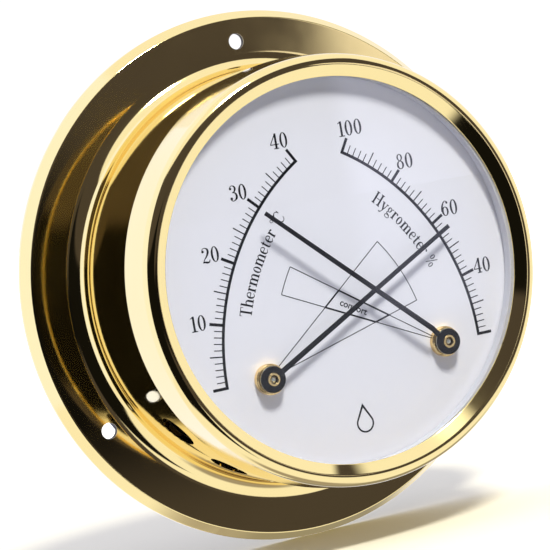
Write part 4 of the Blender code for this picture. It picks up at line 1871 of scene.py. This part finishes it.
@dataclass
class Studio:
    """White tent with dark and bright cards, floor, key light and camera.

    Attributes:
        tent: Brightness of the white tent.
        backdrop: What the camera sees behind the instrument.
        cards: What is darker or brighter than the tent, in order.
        paper: The floor's two colours.
        shade: Its colour for everything but the camera, so that it fills less from below.
        glow: How much it glows far from the instrument, so that its edge doesn't show.
        glow_at: Where that glow begins and where it is full, in metres from the middle.
        floor_r: Radius of the floor in metres.
        key_power: Power of the soft light over the dial, in watts.
        key_size: Width of that light in metres.
        key_at: Its direction: degrees to the right and degrees up.
        key_distance: How far it is, in metres.
        lens: Focal length of the camera, on a sensor 36 mm wide.
        azimuth: Degrees that the camera stands to the left of the dial's axis.
        elevation: Degrees that it stands above it.
        roll: Degrees that the object leans to the left in the frame.
        distance: Metres from the camera to the plane of the wall.
        aim: How far the camera is moved in its own plane, to the right and up, in metres.
    """

    tent: RGB = (1.05, 1.09, 1.36)
    backdrop: RGB = (1.05, 1.05, 1.05)
    cards: tuple[Card, ...] = (
        Card((-190, -77), (-30, 75), 4, (1.08, 1.19, 1.75)),
        Card((90, 200), (-75, -35), 15, (0.35, 0.35, 0.40)),
        Card((-75, 58), (-19, 46), 3, (0.072, 0.064, 0.080)),
        Card((-75, -3), (-42, 14), 4, (0.007, 0.007, 0.008)),
        Card((26.6, 35), (-4.5, 12), 0.8, (1.0, 1.0, 1.30)),
        Card((-400, 400), (-120, -72), 12, (0.40, 0.38, 0.46)),
        Card((-10, 23), (-7.2, 0.6), 3, (0.006, 0.006, 0.008)),
    )
    paper: tuple[RGB, RGB] = ((0.86, 0.80, 0.61), (0.84, 0.78, 0.59))
    shade: RGB = (0.33, 0.33, 0.33)
    glow: float = 0.8
    glow_at: Point = (0.12, 0.35)
    floor_r: float = 3.0
    key_power: float = 10.0
    key_size: float = 0.2
    key_at: Point = (1.0, 54.0)
    key_distance: float = 1.0
    lens: float = 156.54
    azimuth: float = 24.402
    elevation: float = 2.901
    roll: float = 9.902
    distance: float = 0.49789
    aim: Point = (0.00096, -0.00012)

    def lit_world(self) -> None:
        """Paints the tent and its cards on the world, and keeps what the camera sees plain white."""
        world = bpy.data.worlds.new("studio")
        world.use_nodes = True
        bpy.context.scene.world = world
        wiring = Wiring(world.node_tree)
        background = world.node_tree.nodes["Background"]
        parts = wiring.add("SeparateXYZ")
        wiring.feed(parts.inputs[0], wiring.add("TexCoord").outputs["Generated"])
        x, y, z = parts.outputs
        degrees = math.degrees(1)
        forward = wiring.math("MULTIPLY", y, -1.0)
        azimuth = wiring.math("MULTIPLY", wiring.math("ARCTAN2", x, forward), degrees)
        height = wiring.math("MULTIPLY", wiring.math("ARCSINE", z), degrees)
        light: object = (*self.tent, 1)
        for card in self.cards:
            mask = self.window(wiring, azimuth, card.azimuth, card.soft)
            mask = wiring.math("MULTIPLY", mask, self.window(wiring, height, card.height, card.soft))
            light = wiring.blend(mask, light, (*card.light, 1))
        plain = wiring.add("LightPath").outputs["Is Camera Ray"]
        wiring.feed(background.inputs["Color"], wiring.blend(plain, light, (*self.backdrop, 1)))

    @staticmethod
    def window(wiring: Wiring, value: object, edges: Point, soft: float) -> bpy.types.NodeSocket:
        """Gives 1 between two edges and 0 outside them, with soft steps.

        Args:
            wiring: The world's nodes.
            value: What is measured.
            edges: The two edges.
            soft: Width of the steps.

        Returns:
            The mask.
        """
        low, high = edges
        rise = wiring.ramp(value, low - soft / 2, low + soft / 2)
        fall = wiring.ramp(value, high - soft / 2, high + soft / 2, 1.0, 0.0)
        return wiring.math("MULTIPLY", rise, fall)

    def floor(self) -> None:
        """Lays the pale floor under the flange, far wider than the view."""
        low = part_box("case")[0].z
        deselect()
        bpy.ops.mesh.primitive_circle_add(
            vertices=96, radius=self.floor_r, fill_type="NGON", location=(0, 0, low),
        )
        floor = bpy.context.object
        floor.name = "floor"
        bpy.ops.object.transform_apply(location=True)
        material = bpy.data.materials.new("white_paper")
        material.use_nodes = True
        wiring = Wiring(material.node_tree)
        shader = material.node_tree.nodes["Principled BSDF"]
        grain = wiring.noise(wiring.place(), 900.0)
        paper = wiring.blend(grain, *((*colour, 1) for colour in self.paper))
        seen = wiring.add("LightPath").outputs["Is Camera Ray"]
        wiring.feed(shader.inputs["Base Color"], wiring.blend(seen, (*self.shade, 1), paper))
        away = wiring.add("VectorMath", operation="LENGTH")
        wiring.feed(away.inputs[0], wiring.place())
        glow = wiring.ramp(away.outputs["Value"], *self.glow_at, 0.0, self.glow)
        wiring.feed(shader.inputs["Emission Strength"], wiring.math("MULTIPLY", seen, glow))
        shader.inputs["Roughness"].default_value = 0.9
        shader.inputs["Specular IOR Level"].default_value = 0.0
        floor.data.materials.append(material)
        floor.visible_glossy = False

    def key(self, ring: bpy.types.Object) -> None:
        """Hangs the soft light that draws the hands' shadows.

        Args:
            ring: The front ring, which keeps this light off the dial's upper edge and so casts no
                shadow in it.
        """
        light = bpy.data.lights.new("key", "AREA")
        light.shape = "DISK"
        light.size = self.key_size
        light.energy = self.key_power
        lamp = bpy.data.objects.new("key", light)
        bpy.context.scene.collection.objects.link(lamp)
        side, up = (math.radians(angle) for angle in self.key_at)
        way = Vector((math.sin(side) * math.cos(up), -math.cos(side) * math.cos(up), math.sin(up)))
        lamp.location = way * self.key_distance
        lamp.rotation_euler = way.to_track_quat("Z", "Y").to_euler()
        spared = bpy.data.collections.new("spared_by_key")
        spared.objects.link(ring)
        spared.collection_objects[0].light_linking.link_state = "EXCLUDE"
        lamp.light_linking.blocker_collection = spared

    def camera(self) -> None:
        """Sets the camera to the left of the dial, a little above it and rolled."""
        side, up, roll = (math.radians(angle) for angle in (self.azimuth, self.elevation, self.roll))
        back = Vector((-math.sin(side) * math.cos(up), -math.cos(side) * math.cos(up), math.sin(up)))
        level = Vector((0, 0, 1)).cross(back).normalized()
        upright = back.cross(level)
        right = math.cos(roll) * level - math.sin(roll) * upright
        above = math.sin(roll) * level + math.cos(roll) * upright
        data = bpy.data.cameras.new("camera")
        data.lens = self.lens
        data.sensor_width = 36.0
        data.clip_start = 0.01
        camera = bpy.data.objects.new("camera", data)
        bpy.context.scene.collection.objects.link(camera)
        place = back * self.distance + right * self.aim[0] + above * self.aim[1]
        turn = Matrix((right, above, back)).transposed().to_4x4()
        camera.matrix_world = Matrix.Translation(place) @ turn
        bpy.context.scene.camera = camera

    def build(self) -> None:
        """Sets up the whole studio."""
        bpy.context.scene.view_settings.view_transform = "Standard"
        self.lit_world()
        self.floor()
        self.key(bpy.data.objects["front_ring"])
        self.camera()


def main(frame: dict) -> None:
    """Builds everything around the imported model.
    """
    logging.basicConfig(level=logging.INFO, format="%(name)s: %(message)s")
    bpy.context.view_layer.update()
    dress_model(frame)
    span = Room.of("thermometer_bush").x - Room.of("hygrometer_bush").x  # from arbor to arbor
    parts: list[Callable[[], None]] = [
        Case().build,
        Bezel().build,
        Glazing().build,
        Dial().build,
        Hub(Movement.THERMOMETER, angle=137.9, length=span + 8.4, crank=1.05).build,
        Hub(Movement.HYGROMETER, angle=27.5, length=span + 10.0).build,
        Back().build,
        Studio().build,
    ]
    for build in parts:
        build()


if __name__ == "__main__":
    main(frame)
